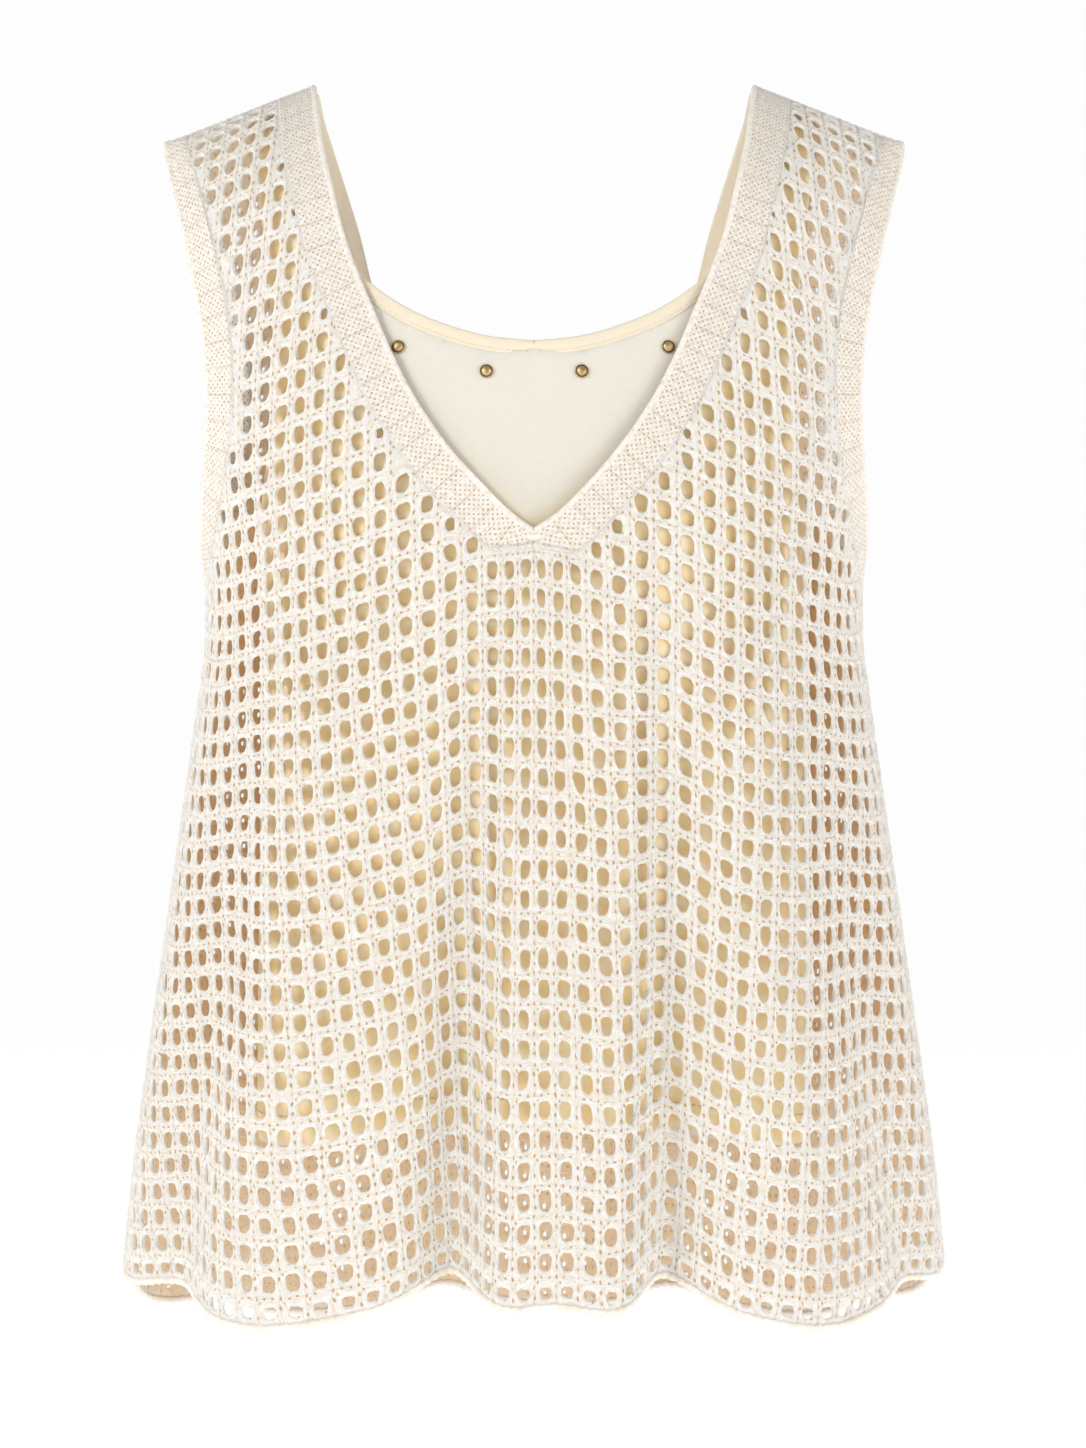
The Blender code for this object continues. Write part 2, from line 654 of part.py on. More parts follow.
def shoulder_tape(name, sign, knit_shells, lining_shells):
    """The tape that the lining hangs on, between it and the knit along the shoulder seam."""
    stations = 3
    reaches = (-TAPE_REACH, -TAPE_REACH / 2, 0.0, TAPE_REACH / 2, TAPE_REACH)
    upper, lower = [], []
    bm = bmesh.new()
    for x in spread(TAPE_INNER, TAPE_OUTER, stations):
        top_row, low_row = [], []
        for reach in reaches:
            which = 0 if reach <= 0 else 1
            v = abs(reach) / TOTAL_ARC
            for shells, row, away, out in (
                (knit_shells, top_row, -1, BAND_THICKNESS / 2 + SEAM_GAP),
                (lining_shells, low_row, 1, LINING_THICKNESS / 2 + SEAM_GAP),
            ):
                shell = shells[which]
                u = shell.arc_at(x, 0.0) / float(shell.width(0.0))
                middle = shell.points(float(sign), np.array(u), np.array(v))
                normal = shell.normals(float(sign), np.array(u), np.array(v))
                row.append(bm.verts.new(middle + normal * away * out))
        upper.append(top_row)
        lower.append(low_row)
    across = len(reaches)
    for k in range(stations):
        for m in range(across - 1):
            bm.faces.new((upper[k][m], upper[k + 1][m], upper[k + 1][m + 1], upper[k][m + 1]))
            bm.faces.new((lower[k][m], lower[k][m + 1], lower[k + 1][m + 1], lower[k + 1][m]))
        for m in (0, across - 1):
            bm.faces.new((upper[k][m], lower[k][m], lower[k + 1][m], upper[k + 1][m]))
    for k in (0, stations):
        for m in range(across - 1):
            bm.faces.new((upper[k][m], upper[k][m + 1], lower[k][m + 1], lower[k][m]))
    bmesh.ops.triangulate(bm, faces=bm.faces[:])
    return add_object(name, bm, TAPE_COLOUR, CLOTH_ROUGHNESS)


def clear_scene():
    for item in list(bpy.data.objects):
        bpy.data.objects.remove(item, do_unlink=True)


def main():
    clear_scene()
    knit_front = Shell(-1, KNIT_RINGS, KNIT_UNDERARM, KNIT_SQUARENESS, KNIT_HEM, 0.0,
                       FRONT_FOLDS)
    knit_back = Shell(1, KNIT_RINGS, KNIT_UNDERARM, KNIT_SQUARENESS, KNIT_HEM, 0.0, BACK_FOLDS)
    lining_front = Shell(-1, LINING_RINGS, LINING_UNDERARM, LINING_SQUARENESS, LINING_HEM,
                         LINING_DROP, LINING_FRONT_FOLDS)
    lining_back = Shell(1, LINING_RINGS, LINING_UNDERARM, LINING_SQUARENESS, LINING_HEM,
                        LINING_DROP, LINING_BACK_FOLDS)

    for side, shell, neck in (("front", knit_front, FRONT_NECK), ("back", knit_back, BACK_NECK)):
        panel = Panel(shell, neck, NECK_BAND_WIDTH, NECK_BASE_SHARE, ARMHOLE_BAND_WIDTH,
                      KNIT_ROW_STEPS)
        cells = panel.cloth_cells(*KNIT_COLUMNS)
        wall(side + "_net", shell, cells, KNIT_THICKNESS, KNIT_COLOUR)
        cells = panel.neck_band_cells(BAND_COLUMNS)
        wall("neck_band_" + side, shell, cells, BAND_THICKNESS, BAND_COLOUR)
        for hand, sign in (("left", -1), ("right", 1)):
            cells = panel.armhole_band_cells(sign, BAND_COLUMNS)
            wall("armhole_band_" + side + "_" + hand, shell, cells, BAND_THICKNESS, BAND_COLOUR)
    for side, shell, neck in (
        ("front", lining_front, LINING_FRONT_NECK), ("back", lining_back, LINING_BACK_NECK),
    ):
        panel = Panel(shell, neck, NECK_BINDING_WIDTH, BINDING_BASE_SHARE, 0.0, LINING_ROW_STEPS)
        cells = panel.cloth_cells(*LINING_COLUMNS)
        wall("lining_" + side, shell, cells, LINING_THICKNESS, LINING_COLOUR)
        cells = panel.neck_band_cells(BINDING_COLUMNS)
        wall("lining_binding_" + side, shell, cells, BINDING_THICKNESS, BINDING_COLOUR)
    for name, across, height in STUDS:
        stud(name, lining_front, across, height)
    for hand, sign in (("left", -1), ("right", 1)):
        shoulder_tape("shoulder_tape_" + hand, sign, (knit_front, knit_back),
                      (lining_front, lining_back))


main()
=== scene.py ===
"""The looks of an open-knit sleeveless top with a deep V, over a slim woven lining.

Each cloth piece is modelled flat, in its own knitting or sewing units, and then laid on the shell
that the garment takes on the shoulders. A shell is addressed by u, 0 at the middle and 1 at the
side seam, negative on the left half, and v, 0 at the shoulder seam and 1 at the hem. Metres.
"""

import math

import bmesh
import bpy
import numpy as np
from mathutils import Matrix, Vector


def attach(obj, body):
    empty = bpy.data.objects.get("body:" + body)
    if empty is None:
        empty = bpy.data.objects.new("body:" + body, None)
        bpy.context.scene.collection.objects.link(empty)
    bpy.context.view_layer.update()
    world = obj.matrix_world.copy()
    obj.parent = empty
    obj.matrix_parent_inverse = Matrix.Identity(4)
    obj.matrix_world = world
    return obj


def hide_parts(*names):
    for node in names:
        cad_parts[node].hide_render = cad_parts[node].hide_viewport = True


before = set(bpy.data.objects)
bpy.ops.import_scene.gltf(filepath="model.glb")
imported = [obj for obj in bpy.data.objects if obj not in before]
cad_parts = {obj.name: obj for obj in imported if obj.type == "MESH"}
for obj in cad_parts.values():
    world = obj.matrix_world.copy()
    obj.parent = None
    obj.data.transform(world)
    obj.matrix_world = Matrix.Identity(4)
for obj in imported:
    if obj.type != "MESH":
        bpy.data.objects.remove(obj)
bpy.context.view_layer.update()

# ---------------------------------------------------------------- sizes of the garment's shells

NECK_POINT = 0.100
SHOULDER_RADIUS = 0.060
REFERENCE_DROP = 0.560
NECK_BAND_WIDTH = 0.0190
ARMHOLE_BAND_WIDTH = 0.0175
NECK_BINDING_WIDTH = 0.0070
NECK_BASE_SHARE = 0.40     # how far under the V the bands' joint lies, in band widths
BINDING_BASE_SHARE = 0.60
ARM_BASE_SHARE = 0.85
LINING_SQUARENESS = 0.55
STRAP_SPREAD = 0.10
SPREAD_START = -0.140
HEM_SAG = 0.75
LINING_DROP = 0.0036
ORIGIN_DROP = 0.0096
LINING_THICKNESS = 0.0010

KNIT_RINGS = (
    # height,  ring,   edge,   front,  back
    (0.000, 0.1730, 0.1720, 0.050, 0.050),
    (-0.030, 0.1735, 0.1700, 0.063, 0.060),
    (-0.060, 0.1735, 0.1620, 0.075, 0.070),
    (-0.090, 0.1725, 0.1545, 0.084, 0.078),
    (-0.120, 0.1700, 0.1490, 0.091, 0.084),
    (-0.150, 0.1650, 0.1475, 0.097, 0.088),
    (-0.180, 0.1585, 0.1495, 0.102, 0.090),
    (-0.215, 0.1515, 0.1515, 0.106, 0.091),
    (-0.250, 0.1500, 0.1500, 0.109, 0.092),
    (-0.300, 0.1560, 0.1560, 0.113, 0.096),
    (-0.350, 0.1630, 0.1630, 0.117, 0.101),
    (-0.400, 0.1700, 0.1700, 0.121, 0.107),
    (-0.450, 0.1770, 0.1770, 0.126, 0.113),
    (-0.500, 0.1835, 0.1835, 0.130, 0.118),
    (-0.540, 0.1870, 0.1870, 0.133, 0.121),
    (-0.580, 0.1880, 0.1880, 0.135, 0.122),
)
KNIT_UNDERARM = -0.215
LINING_RINGS = (
    # height,  ring,   edge,   front,  back
    (0.000, 0.1420, 0.1290, 0.050, 0.050),
    (-0.040, 0.1410, 0.1260, 0.063, 0.060),
    (-0.080, 0.1390, 0.1210, 0.077, 0.071),
    (-0.120, 0.1350, 0.1170, 0.086, 0.079),
    (-0.160, 0.1300, 0.1180, 0.093, 0.083),
    (-0.205, 0.1240, 0.1240, 0.099, 0.086),
    (-0.300, 0.1240, 0.1240, 0.104, 0.089),
    (-0.400, 0.1250, 0.1250, 0.108, 0.092),
    (-0.500, 0.1260, 0.1260, 0.112, 0.095),
)
LINING_UNDERARM = -0.205

SHOULDER_LINE = (
    (0.000, 0.0340), (0.022, 0.0285), (0.056, 0.0165), (0.100, 0.0000),
    (0.134, -0.0125), (0.172, -0.0260), (0.200, -0.0350),
)
KNIT_HEM = (
    # u,   front,   back
    (0.00, -0.5420, -0.5710),
    (0.10, -0.5435, -0.5715),
    (0.25, -0.5465, -0.5720),
    (0.45, -0.5510, -0.5710),
    (0.60, -0.5515, -0.5710),
    (0.77, -0.5475, -0.5660),
    (0.90, -0.5400, -0.5500),
    (1.00, -0.5270, -0.5270),
)
LINING_HEM = (
    # u,   front,   back
    (0.00, -0.4690, -0.4700),
    (0.25, -0.4720, -0.4720),
    (0.50, -0.4790, -0.4750),
    (0.70, -0.4800, -0.4770),
    (0.85, -0.4790, -0.4780),
    (1.00, -0.4780, -0.4780),
)

FRONT_FOLDS = (
    # u top, u hem, v start, half-width, height
    (-0.12, -0.16, 0.38, 0.072, -0.0185),
    (0.31, 0.25, 0.36, 0.072, -0.0180),
    (-0.62, -0.73, 0.34, 0.095, -0.0100),
    (0.62, 0.79, 0.38, 0.090, -0.0085),
    (0.00, -0.04, 0.42, 0.070, 0.0050),
    (0.15, 0.13, 0.42, 0.070, 0.0050),
    (-0.42, -0.47, 0.42, 0.150, 0.0070),
    (0.46, 0.50, 0.42, 0.120, 0.0070),
    (-0.86, -0.88, 0.40, 0.070, 0.0035),
    (0.86, 0.88, 0.42, 0.070, 0.0035),
)
BACK_FOLDS = (
    (-0.13, -0.19, 0.42, 0.080, -0.0138),
    (0.30, 0.28, 0.38, 0.080, -0.0134),
    (-0.58, -0.69, 0.36, 0.095, -0.0105),
    (0.60, 0.74, 0.40, 0.090, -0.0095),
    (0.07, 0.05, 0.46, 0.095, 0.0065),
    (-0.40, -0.43, 0.44, 0.130, 0.0065),
    (0.46, 0.50, 0.44, 0.110, 0.0065),
    (-0.84, -0.87, 0.40, 0.080, 0.0040),
)
LINING_FRONT_FOLDS = (
    (-0.35, -0.30, 0.50, 0.16, -0.0030),
    (0.28, 0.36, 0.50, 0.16, -0.0030),
    (0.02, 0.04, 0.55, 0.14, 0.0020),
)
LINING_BACK_FOLDS = (
    (-0.22, -0.28, 0.50, 0.16, -0.0030),
    (0.30, 0.26, 0.50, 0.16, -0.0030),
)

FRONT_NECK = (
    (0.000, NECK_POINT), (-0.014, 0.0975), (-0.030, 0.0950), (-0.047, 0.0910), (-0.075, 0.0840),
    (-0.106, 0.0720), (-0.148, 0.0525), (-0.185, 0.0250), (-0.201, 0.0085), (-0.2065, 0.0),
)
BACK_NECK = (
    (0.000, NECK_POINT), (-0.020, 0.0990), (-0.050, 0.0950), (-0.085, 0.0870), (-0.120, 0.0740),
    (-0.155, 0.0500), (-0.182, 0.0220), (-0.194, 0.0080), (-0.199, 0.0),
)
LINING_FRONT_NECK = (
    (-0.003, 0.1030), (-0.020, 0.1010), (-0.047, 0.0960), (-0.075, 0.0880), (-0.091, 0.0785),
    (-0.1005, 0.0675), (-0.1080, 0.0560), (-0.1155, 0.0390), (-0.1210, 0.0200), (-0.1230, 0.0),
)
LINING_BACK_NECK = (
    (-0.003, 0.0990), (-0.010, 0.0980), (-0.024, 0.0940), (-0.043, 0.0880), (-0.063, 0.0820),
    (-0.084, 0.0770), (-0.115, 0.0660), (-0.140, 0.0470), (-0.155, 0.0240), (-0.160, 0.0),
)

STUDS = (
    # name, across, height
    ("stud_1", -0.0598, -0.1258),
    ("stud_2", -0.0208, -0.1370),
    ("stud_3", 0.0212, -0.1370),
    ("stud_4", 0.0594, -0.1258),
)

# ---------------------------------------------------------------- the knit's own numbers

COLUMNS = 29               # mesh holes from the middle to beyond the side seam
COLUMN_PITCH = 0.0098
ROWS = 47                  # mesh rows from the shoulder seam to the hem
CELL_CUTS = 2              # extra points on each side of a mesh cell
BAR_HEIGHT = 0.0008        # half the knit's thickness between the holes
RIM_HEIGHT = 0.0012        # half its thickness on the rim of a hole
HOLE_WIDTH = 0.60          # share of a cell that its hole takes
HOLE_HEIGHT = 0.67
BACK_HOLE_WIDTH = 0.15     # the back is knitted closer
BACK_HOLE_HEIGHT = 0.17
LAST_ROW_SHARE = 0.60      # the hem's own row is worked closer
RIM_MARGIN = 0.19          # from the hole's edge to the rim's crest, both sides together
UNDER_BAND = 0.0020        # how far the mesh runs on inside a band
SHOULDER_STITCH_DROP = 0.0050
INSIDE_SHARE = 0.25        # how much of the painted knit shade the lining's inner face gets
SEED = 7
CENTRE_DRAW = 0.30         # how much the V draws the middle columns together
DRAWN_COLUMNS = 5.0
FRONT_LEAN = 1.5           # columns that the front's left half slides into the fold beside it
LEAN_FROM = 0.34           # where down the panel that begins
LEAN_COLUMN = -9.5
LEAN_COLUMNS = 5.0
SEAM_GAP = 0.0003
NARROW_PITCH = 0.89        # of the columns at the shoulder, against the body's
FULL_PITCH_FROM = 0.40     # v
RIM_INSET = 0.12           # of a cell, from its edge to the rim and again to the hole
CLOSED_WITHIN = 0.0012     # a cell this near a seam has no hole
EASE = (0.0002, 0.0042, 0.32)   # holes near a seam: from, over, and the smallest share
SIDE_LENGTH = 0.24         # u to metres, beside the side seam
WIDEST_RIM = 0.92
HOLE_TURN = 1.40           # how far a hole's corners are rounded off
RIM_TURN = 1.13
WIDTH_CHANCE = (0, 0.06)   # middle and spread of each hole's own differences
HEIGHT_CHANCE = (0, 0.05)
LEAN_CHANCE = (0.03, 0.08)
TAPER_CHANCE = (0.10, 0.08)
SHIFT_X_CHANCE = (0, 0.022)
SHIFT_Y_CHANCE = (0, 0.018)
WOBBLE_CHANCE = (0, 0.032)
POINT_CHANCE = (0, 0.012)
BULK_CHANCE = (0, 0.10)
MM = 1000.0
NORMAL_STEP = 0.002        # u and v either side of a place, to find its normal
LINE_STEP = 0.004          # between points of a neck edge
STITCH_MARGIN = 0.004      # u from a strap's edge to its row of stitches
LINING_UNDER = 0.0015      # how far the lining runs on inside its binding
BAND_STEP = 0.0020         # from row to row along a band
BINDING_STEP = 0.0030


# ---------------------------------------------------------------- lines

def lengths_along(places):
    """How far along a line each of its places lies."""
    steps = np.linalg.norm(np.diff(places, axis=0), axis=1)
    return np.concatenate(([0.0], np.cumsum(steps)))


def nearest_on_line(places, line):
    """Each place's distance from a line, the nearest point on it, and how far along that is."""
    best = np.full(len(places), np.inf)
    found = np.zeros_like(places)
    along = np.zeros(len(places))
    lengths = lengths_along(line)
    for k, (start, end) in enumerate(zip(line[:-1], line[1:])):
        run = end - start
        share = np.clip((places - start) @ run / max(run @ run, 1e-14), 0.0, 1.0)
        foot = start + share[:, None] * run
        gap = ((places - foot) ** 2).sum(axis=1)
        closer = gap < best
        best[closer] = gap[closer]
        found[closer] = foot[closer]
        along[closer] = lengths[k] + share[closer] * (lengths[k + 1] - lengths[k])
    return np.sqrt(best), found, along


def sign_of(signed):
    return np.where(signed < 0, -1.0, 1.0)


# ---------------------------------------------------------------- shells

def spline(xs, ys, x):
    """A smooth curve through the points, evaluated at x."""
    xs = np.asarray(xs, dtype=float)
    ys = np.asarray(ys, dtype=float)
    if xs[0] > xs[-1]:
        xs = xs[::-1]
        ys = ys[::-1]
    slopes = np.gradient(ys, xs)
    x = np.clip(x, xs[0], xs[-1])
    k = np.clip(np.searchsorted(xs, x, side="right") - 1, 0, len(xs) - 2)
    width = xs[k + 1] - xs[k]
    t = (x - xs[k]) / width
    rise = (3 - 2 * t) * t * t
    lead = t * (1 - t) ** 2 * width * slopes[k]
    trail = t * t * (t - 1) * width * slopes[k + 1]
    return ys[k] * (1 - rise) + ys[k + 1] * rise + lead + trail


def smooth(x):
    x = np.clip(x, 0.0, 1.0)
    return x * x * (3 - 2 * x)


def drop_of_arc(arc):
    """Height lost after an arc length over the shoulder's bend and then straight down."""
    bend = SHOULDER_RADIUS * math.pi / 2
    on_bend = SHOULDER_RADIUS * (1 - np.cos(np.minimum(arc, bend) / SHOULDER_RADIUS))
    return on_bend + np.maximum(arc - bend, 0.0)


def arc_of_drop(drop):
    on_bend = np.minimum(drop, SHOULDER_RADIUS)
    arc = SHOULDER_RADIUS * np.arccos(1 - on_bend / SHOULDER_RADIUS)
    return arc + np.maximum(drop - SHOULDER_RADIUS, 0.0)


TOTAL_ARC = float(arc_of_drop(REFERENCE_DROP))


class Shell:
    """The middle surface of one layer's front or back."""

    ANGLES = np.linspace(0.0, math.pi / 2, 181)
    SHARES = np.linspace(0.0, 1.0, 121)

    def __init__(self, side, rings, underarm, squareness, hem, lowered, folds):
        self.side = side                      # -1 for the front, +1 for the back
        self.squareness = squareness          # 1 is an ellipse, less is boxier
        self.underarm = underarm
        self.folds = folds
        self.rings = np.array(rings)
        self.hem = np.array(hem)
        self.depth_column = 3 if side < 0 else 4
        self.hem_column = 1 if side < 0 else 2
        self.heights = np.linspace(self.rings[-1, 0], 0.0, 141)
        self.angle_table = []
        quarter = []
        for height in self.heights:
            arcs = self.arcs_at(height)
            quarter.append(arcs[-1])
            self.angle_table.append(np.interp(self.SHARES, arcs / arcs[-1], self.ANGLES))
        self.angle_table = np.array(self.angle_table)
        self.quarter = np.array(quarter)
        self.columns = np.linspace(0.0, 1.0, 101)
        top = self.columns * self.width(0.0)
        shoulder_x = self.section(self.angle(top, 0.0 * top), 0.0 * top)[0]
        line = np.array(SHOULDER_LINE)
        self.shoulder = spline(line[:, 0], line[:, 1], shoulder_x) - lowered

    def ring(self, column, z):
        return spline(self.rings[:, 0], self.rings[:, column], z)

    def section(self, angle, z):
        """Half-width and depth of the ring at an angle from the middle."""
        x = self.ring(1, z) * np.sin(angle)
        y = self.ring(self.depth_column, z) * np.cos(angle) ** self.squareness
        return x, y

    def arcs_at(self, z):
        x, y = self.section(self.ANGLES, z)
        steps = np.hypot(np.diff(x), np.diff(y))
        return np.concatenate(([0.0], np.cumsum(steps)))

    def width(self, z):
        """Arc length that u = 1 stands for at a height."""
        at_bust = np.interp(self.underarm, self.heights, self.quarter)
        spread = np.clip((z - SPREAD_START) / -SPREAD_START, 0.0, 1.0)
        above = at_bust * (1 + STRAP_SPREAD * spread ** 1.5)
        below = np.interp(z, self.heights, self.quarter)
        return np.where(z > self.underarm, above, below)

    def angle(self, arc, z):
        """Angle on the ring after an arc length from the middle."""
        share = arc / np.interp(z, self.heights, self.quarter)
        row = (z - self.heights[0]) / (self.heights[1] - self.heights[0])
        low = np.clip(np.floor(row).astype(int), 0, len(self.heights) - 2)
        part = np.clip(row - low, 0.0, 1.0)
        place = np.clip(share, 0.0, 1.0) * (len(self.SHARES) - 1)
        left = np.clip(np.floor(place).astype(int), 0, len(self.SHARES) - 2)
        along = place - left
        table = self.angle_table
        lower = table[low, left] * (1 - along) + table[low, left + 1] * along
        upper = table[low + 1, left] * (1 - along) + table[low + 1, left + 1] * along
        return lower * (1 - part) + upper * part

    def seam_heights(self, u):
        shoulder = np.interp(u, self.columns, self.shoulder)
        hem = spline(self.hem[:, 0], self.hem[:, self.hem_column], u)
        return shoulder, hem

    def fold(self, signed, v):
        """How far the cloth stands out from its plain ring."""
        total = np.zeros_like(signed + v)
        for u_top, u_hem, v_start, half_width, height in self.folds:
            grown = np.clip((v - v_start) / (1 - v_start), 0.0, 1.0)
            centre = u_top + (u_hem - u_top) * grown
            total += height * grown * np.exp(-((signed - centre) / half_width) ** 2)
        return total * (1 - np.clip(np.abs(signed), 0.0, 1.0) ** 8)

    def points(self, signed, v):
        """Points of the middle surface; signed is u, negative on the left half."""
        signed = np.asarray(signed, dtype=float)
        v = np.asarray(v, dtype=float)
        sign = sign_of(signed)
        u = np.abs(signed)
        shoulder, hem = self.seam_heights(u)
        down = drop_of_arc(v * TOTAL_ARC) / REFERENCE_DROP
        z = shoulder + (hem - shoulder) * down
        angle = self.angle(u * self.width(z), z)
        x, y = self.section(angle, z)
        bend = np.clip((shoulder - z) / SHOULDER_RADIUS, 0.0, 1.0)
        y = y * np.sqrt(1 - (1 - bend) ** 2)
        out = self.fold(signed, v)
        return np.stack((sign * (x + out * np.sin(angle)), self.side * (y + out * np.cos(angle)),
                         z - HEM_SAG * out + ORIGIN_DROP), axis=-1)

    def normals(self, signed, v):
        """Unit normals, facing out of the garment."""
        step = NORMAL_STEP
        high_u = np.minimum(signed + step, 1.0)
        low_u = np.maximum(signed - step, -1.0)
        across = self.points(high_u, v) - self.points(low_u, v)
        high_v = np.minimum(v + step, 1.0)
        low_v = np.maximum(v - step, 0.0)
        down = self.points(signed, high_v) - self.points(signed, low_v)
        normal = np.cross(down, across) * -self.side
        return normal / np.linalg.norm(normal, axis=-1, keepdims=True)

    def locate(self, arc, z):
        """u and v of a point given by its arc length from the middle and its height."""
        u = arc / self.width(z)
        shoulder, hem = self.seam_heights(u)
        down = np.clip((shoulder - z) / (shoulder - hem), 0.0, 1.0)
        return u, arc_of_drop(down * REFERENCE_DROP) / TOTAL_ARC

    def arc_at(self, x, z):
        angle = np.arcsin(np.clip(x / self.ring(1, z), 0.0, 1.0))
        return float(np.interp(angle, self.ANGLES, self.arcs_at(z)))

    def level(self, u, z):
        shoulder, hem = self.seam_heights(np.array(u))
        down = float((shoulder - z) / (shoulder - hem))
        return float(arc_of_drop(down * REFERENCE_DROP)) / TOTAL_ARC


# ---------------------------------------------------------------- seam lines

def finer(points, step):
    """Points along a smooth curve through the given ones, about one step apart."""
    points = np.array(points)
    chords = np.hypot(*np.diff(points, axis=0).T)
    along = np.concatenate(([0.0], np.cumsum(chords)))
    count = max(2, int(round(along[-1] / step)) + 1)
    places = np.linspace(0.0, along[-1], count)
    return np.stack([spline(along, points[:, k], places) for k in (0, 1)], axis=1)


def offset(curve, distance):
    """A curve beside another one, to the left of its direction."""
    tangent = np.gradient(curve, axis=0)
    tangent /= np.linalg.norm(tangent, axis=1, keepdims=True)
    return curve + distance * np.stack((-tangent[:, 1], tangent[:, 0]), axis=1)


class Edge:
    """A line on a shell: u as a function of v, from the shoulder down."""

    def __init__(self, shell, curve):
        arcs, heights = curve[:, 0], curve[:, 1]
        u, v = shell.locate(np.maximum(arcs, 0.0), heights)
        order = np.argsort(v, kind="stable")
        self.v = v[order]
        self.u = np.where(arcs[order] <= 0.0, 0.0, u[order])

    def at(self, v):
        return np.interp(v, self.v, self.u)


def neck_curve(shell, table):
    """The neck edge as arc length and height, from the shoulder to the middle."""
    fine = finer([(x, z) for z, x in table], LINE_STEP)
    return np.array([(shell.arc_at(x, z), z) for x, z in fine])


def armhole_curve(shell):
    """The armhole edge as arc length and height, from the shoulder to the side seam."""
    heights = shell.underarm * (1 - np.linspace(1.0, 0.0, 60) ** 2)
    rows = []
    for z in heights:
        arc = shell.arc_at(min(float(shell.ring(2, z)), float(shell.ring(1, z))), z)
        rows.append((arc, z))
    rows[-1] = (float(shell.width(shell.underarm)), shell.underarm)
    return np.array(rows)


class Seam:
    """The line that a panel is sewn along, to tell how far a place is from it."""

    def __init__(self, shell, edge, base, towards):
        self.scale = np.array([float(shell.width(shell.underarm)), TOTAL_ARC])
        self.edge = edge
        self.base = base
        self.towards = towards           # 0 round the neck, 1 round an armhole
        levels = np.linspace(0.0, base, 140)
        points = np.stack((edge.at(levels), levels), axis=1)
        across = np.linspace(points[-1, 0], towards, 20)[1:]
        below = np.stack((across, np.full_like(across, base)), axis=1)
        self.points = np.concatenate((points, below)) * self.scale

    def nearest(self, signed, v):
        """Distance, positive inside the panel; the place, the seam's nearest point and the side."""
        place = np.stack((np.abs(signed), v), axis=1) * self.scale
        distance, found, _ = nearest_on_line(place, self.points)
        edge = self.edge.at(v)
        beyond = np.abs(signed) > edge if self.towards else np.abs(signed) < edge
        side = np.where(beyond & (v < self.base), -1.0, 1.0)
        return distance * side, place, found, side

    def tuck(self, signed, v, under):
        """Bring what lies further than under beyond the seam back to that line."""
        distance, place, foot, side = self.nearest(signed, v)
        away = (place - foot) * side[:, None]
        away /= np.maximum(np.linalg.norm(away, axis=1, keepdims=True), 1e-9)
        beyond = (distance < -under)[:, None]
        place = np.where(beyond, foot - away * under, place) / self.scale
        sign = sign_of(signed)
        return sign * np.clip(place[:, 0], 0.0, 1.0), np.clip(place[:, 1], 0.0, 1.0)


class Weave:
    """Where the columns of a panel run: each stays its own length of cloth from the middle."""

    def __init__(self, shell):
        self.levels = np.linspace(0.0, 1.0, 81)
        self.us = np.linspace(-1.0, 1.0, 241)
        self.arcs = []
        for level in self.levels:
            arcs = lengths_along(shell.points(self.us, np.full_like(self.us, level)))
            self.arcs.append(arcs - np.interp(0.0, self.us, arcs))

    def u_at(self, arc, k):
        table = self.arcs[k]
        u = np.interp(arc, table, self.us)
        u = np.where(arc > table[-1], 1.0 + (arc - table[-1]) / table[-1], u)
        return np.where(arc < table[0], -1.0 + (arc - table[0]) / -table[0], u)

    def u(self, arc, v):
        place = np.clip(v, 0.0, 1.0) * (len(self.levels) - 1)
        low = np.clip(np.floor(place).astype(int), 0, len(self.levels) - 2)
        part = place - low
        found = np.zeros_like(arc)
        for k in range(len(self.levels) - 1):
            here = low == k
            if here.any():
                lower = self.u_at(arc[here], k)
                upper = self.u_at(arc[here], k + 1)
                found[here] = lower + (upper - lower) * part[here]
        return found


class Panel:
    """One shell's front or back, parted by seams into bands and cloth."""

    def __init__(self, shell, neck_table, neck_width, neck_base_share, armhole_width):
        self.shell = shell
        gap = SEAM_GAP / 2
        self.neck = neck_curve(shell, neck_table)
        self.neck_edge = Edge(shell, self.neck)
        self.neck_band_seam = Edge(shell, offset(self.neck, neck_width - gap))
        neck_cloth_seam = Edge(shell, offset(self.neck, neck_width + gap))
        armhole = armhole_curve(shell)
        self.armhole_edge = Edge(shell, armhole)
        self.armhole_band_seam = Edge(shell, offset(armhole, -armhole_width + gap))
        arm_cloth_seam = self.armhole_edge
        if armhole_width:
            arm_cloth_seam = Edge(shell, offset(armhole, -armhole_width - gap))
        tip = neck_table[-1][0]
        self.gap_v = gap / TOTAL_ARC
        self.neck_tip = shell.level(0.0, tip)
        self.neck_base = shell.level(0.0, tip - neck_base_share * neck_width)
        self.arm_tip = shell.level(1.0, shell.underarm)
        self.arm_base = shell.level(1.0, shell.underarm - ARM_BASE_SHARE * armhole_width)
        self.neck_seam = Seam(shell, neck_cloth_seam, self.neck_base + self.gap_v, 0)
        self.arm_seam = Seam(shell, arm_cloth_seam, self.arm_base + self.gap_v, 1)
        self.last_u = 1 - gap / float(shell.width(shell.underarm))
        self.weave = Weave(shell)
        self.draw = CENTRE_DRAW if shell.side < 0 else CENTRE_DRAW / 2
        self.lean = FRONT_LEAN if shell.side < 0 else 0.0

    def tidy(self, signed, v):
        """Keep a place inside the side seams and just off the shoulder seam."""
        sign = sign_of(signed)
        return sign * np.minimum(np.abs(signed), self.last_u), np.maximum(v, self.gap_v)


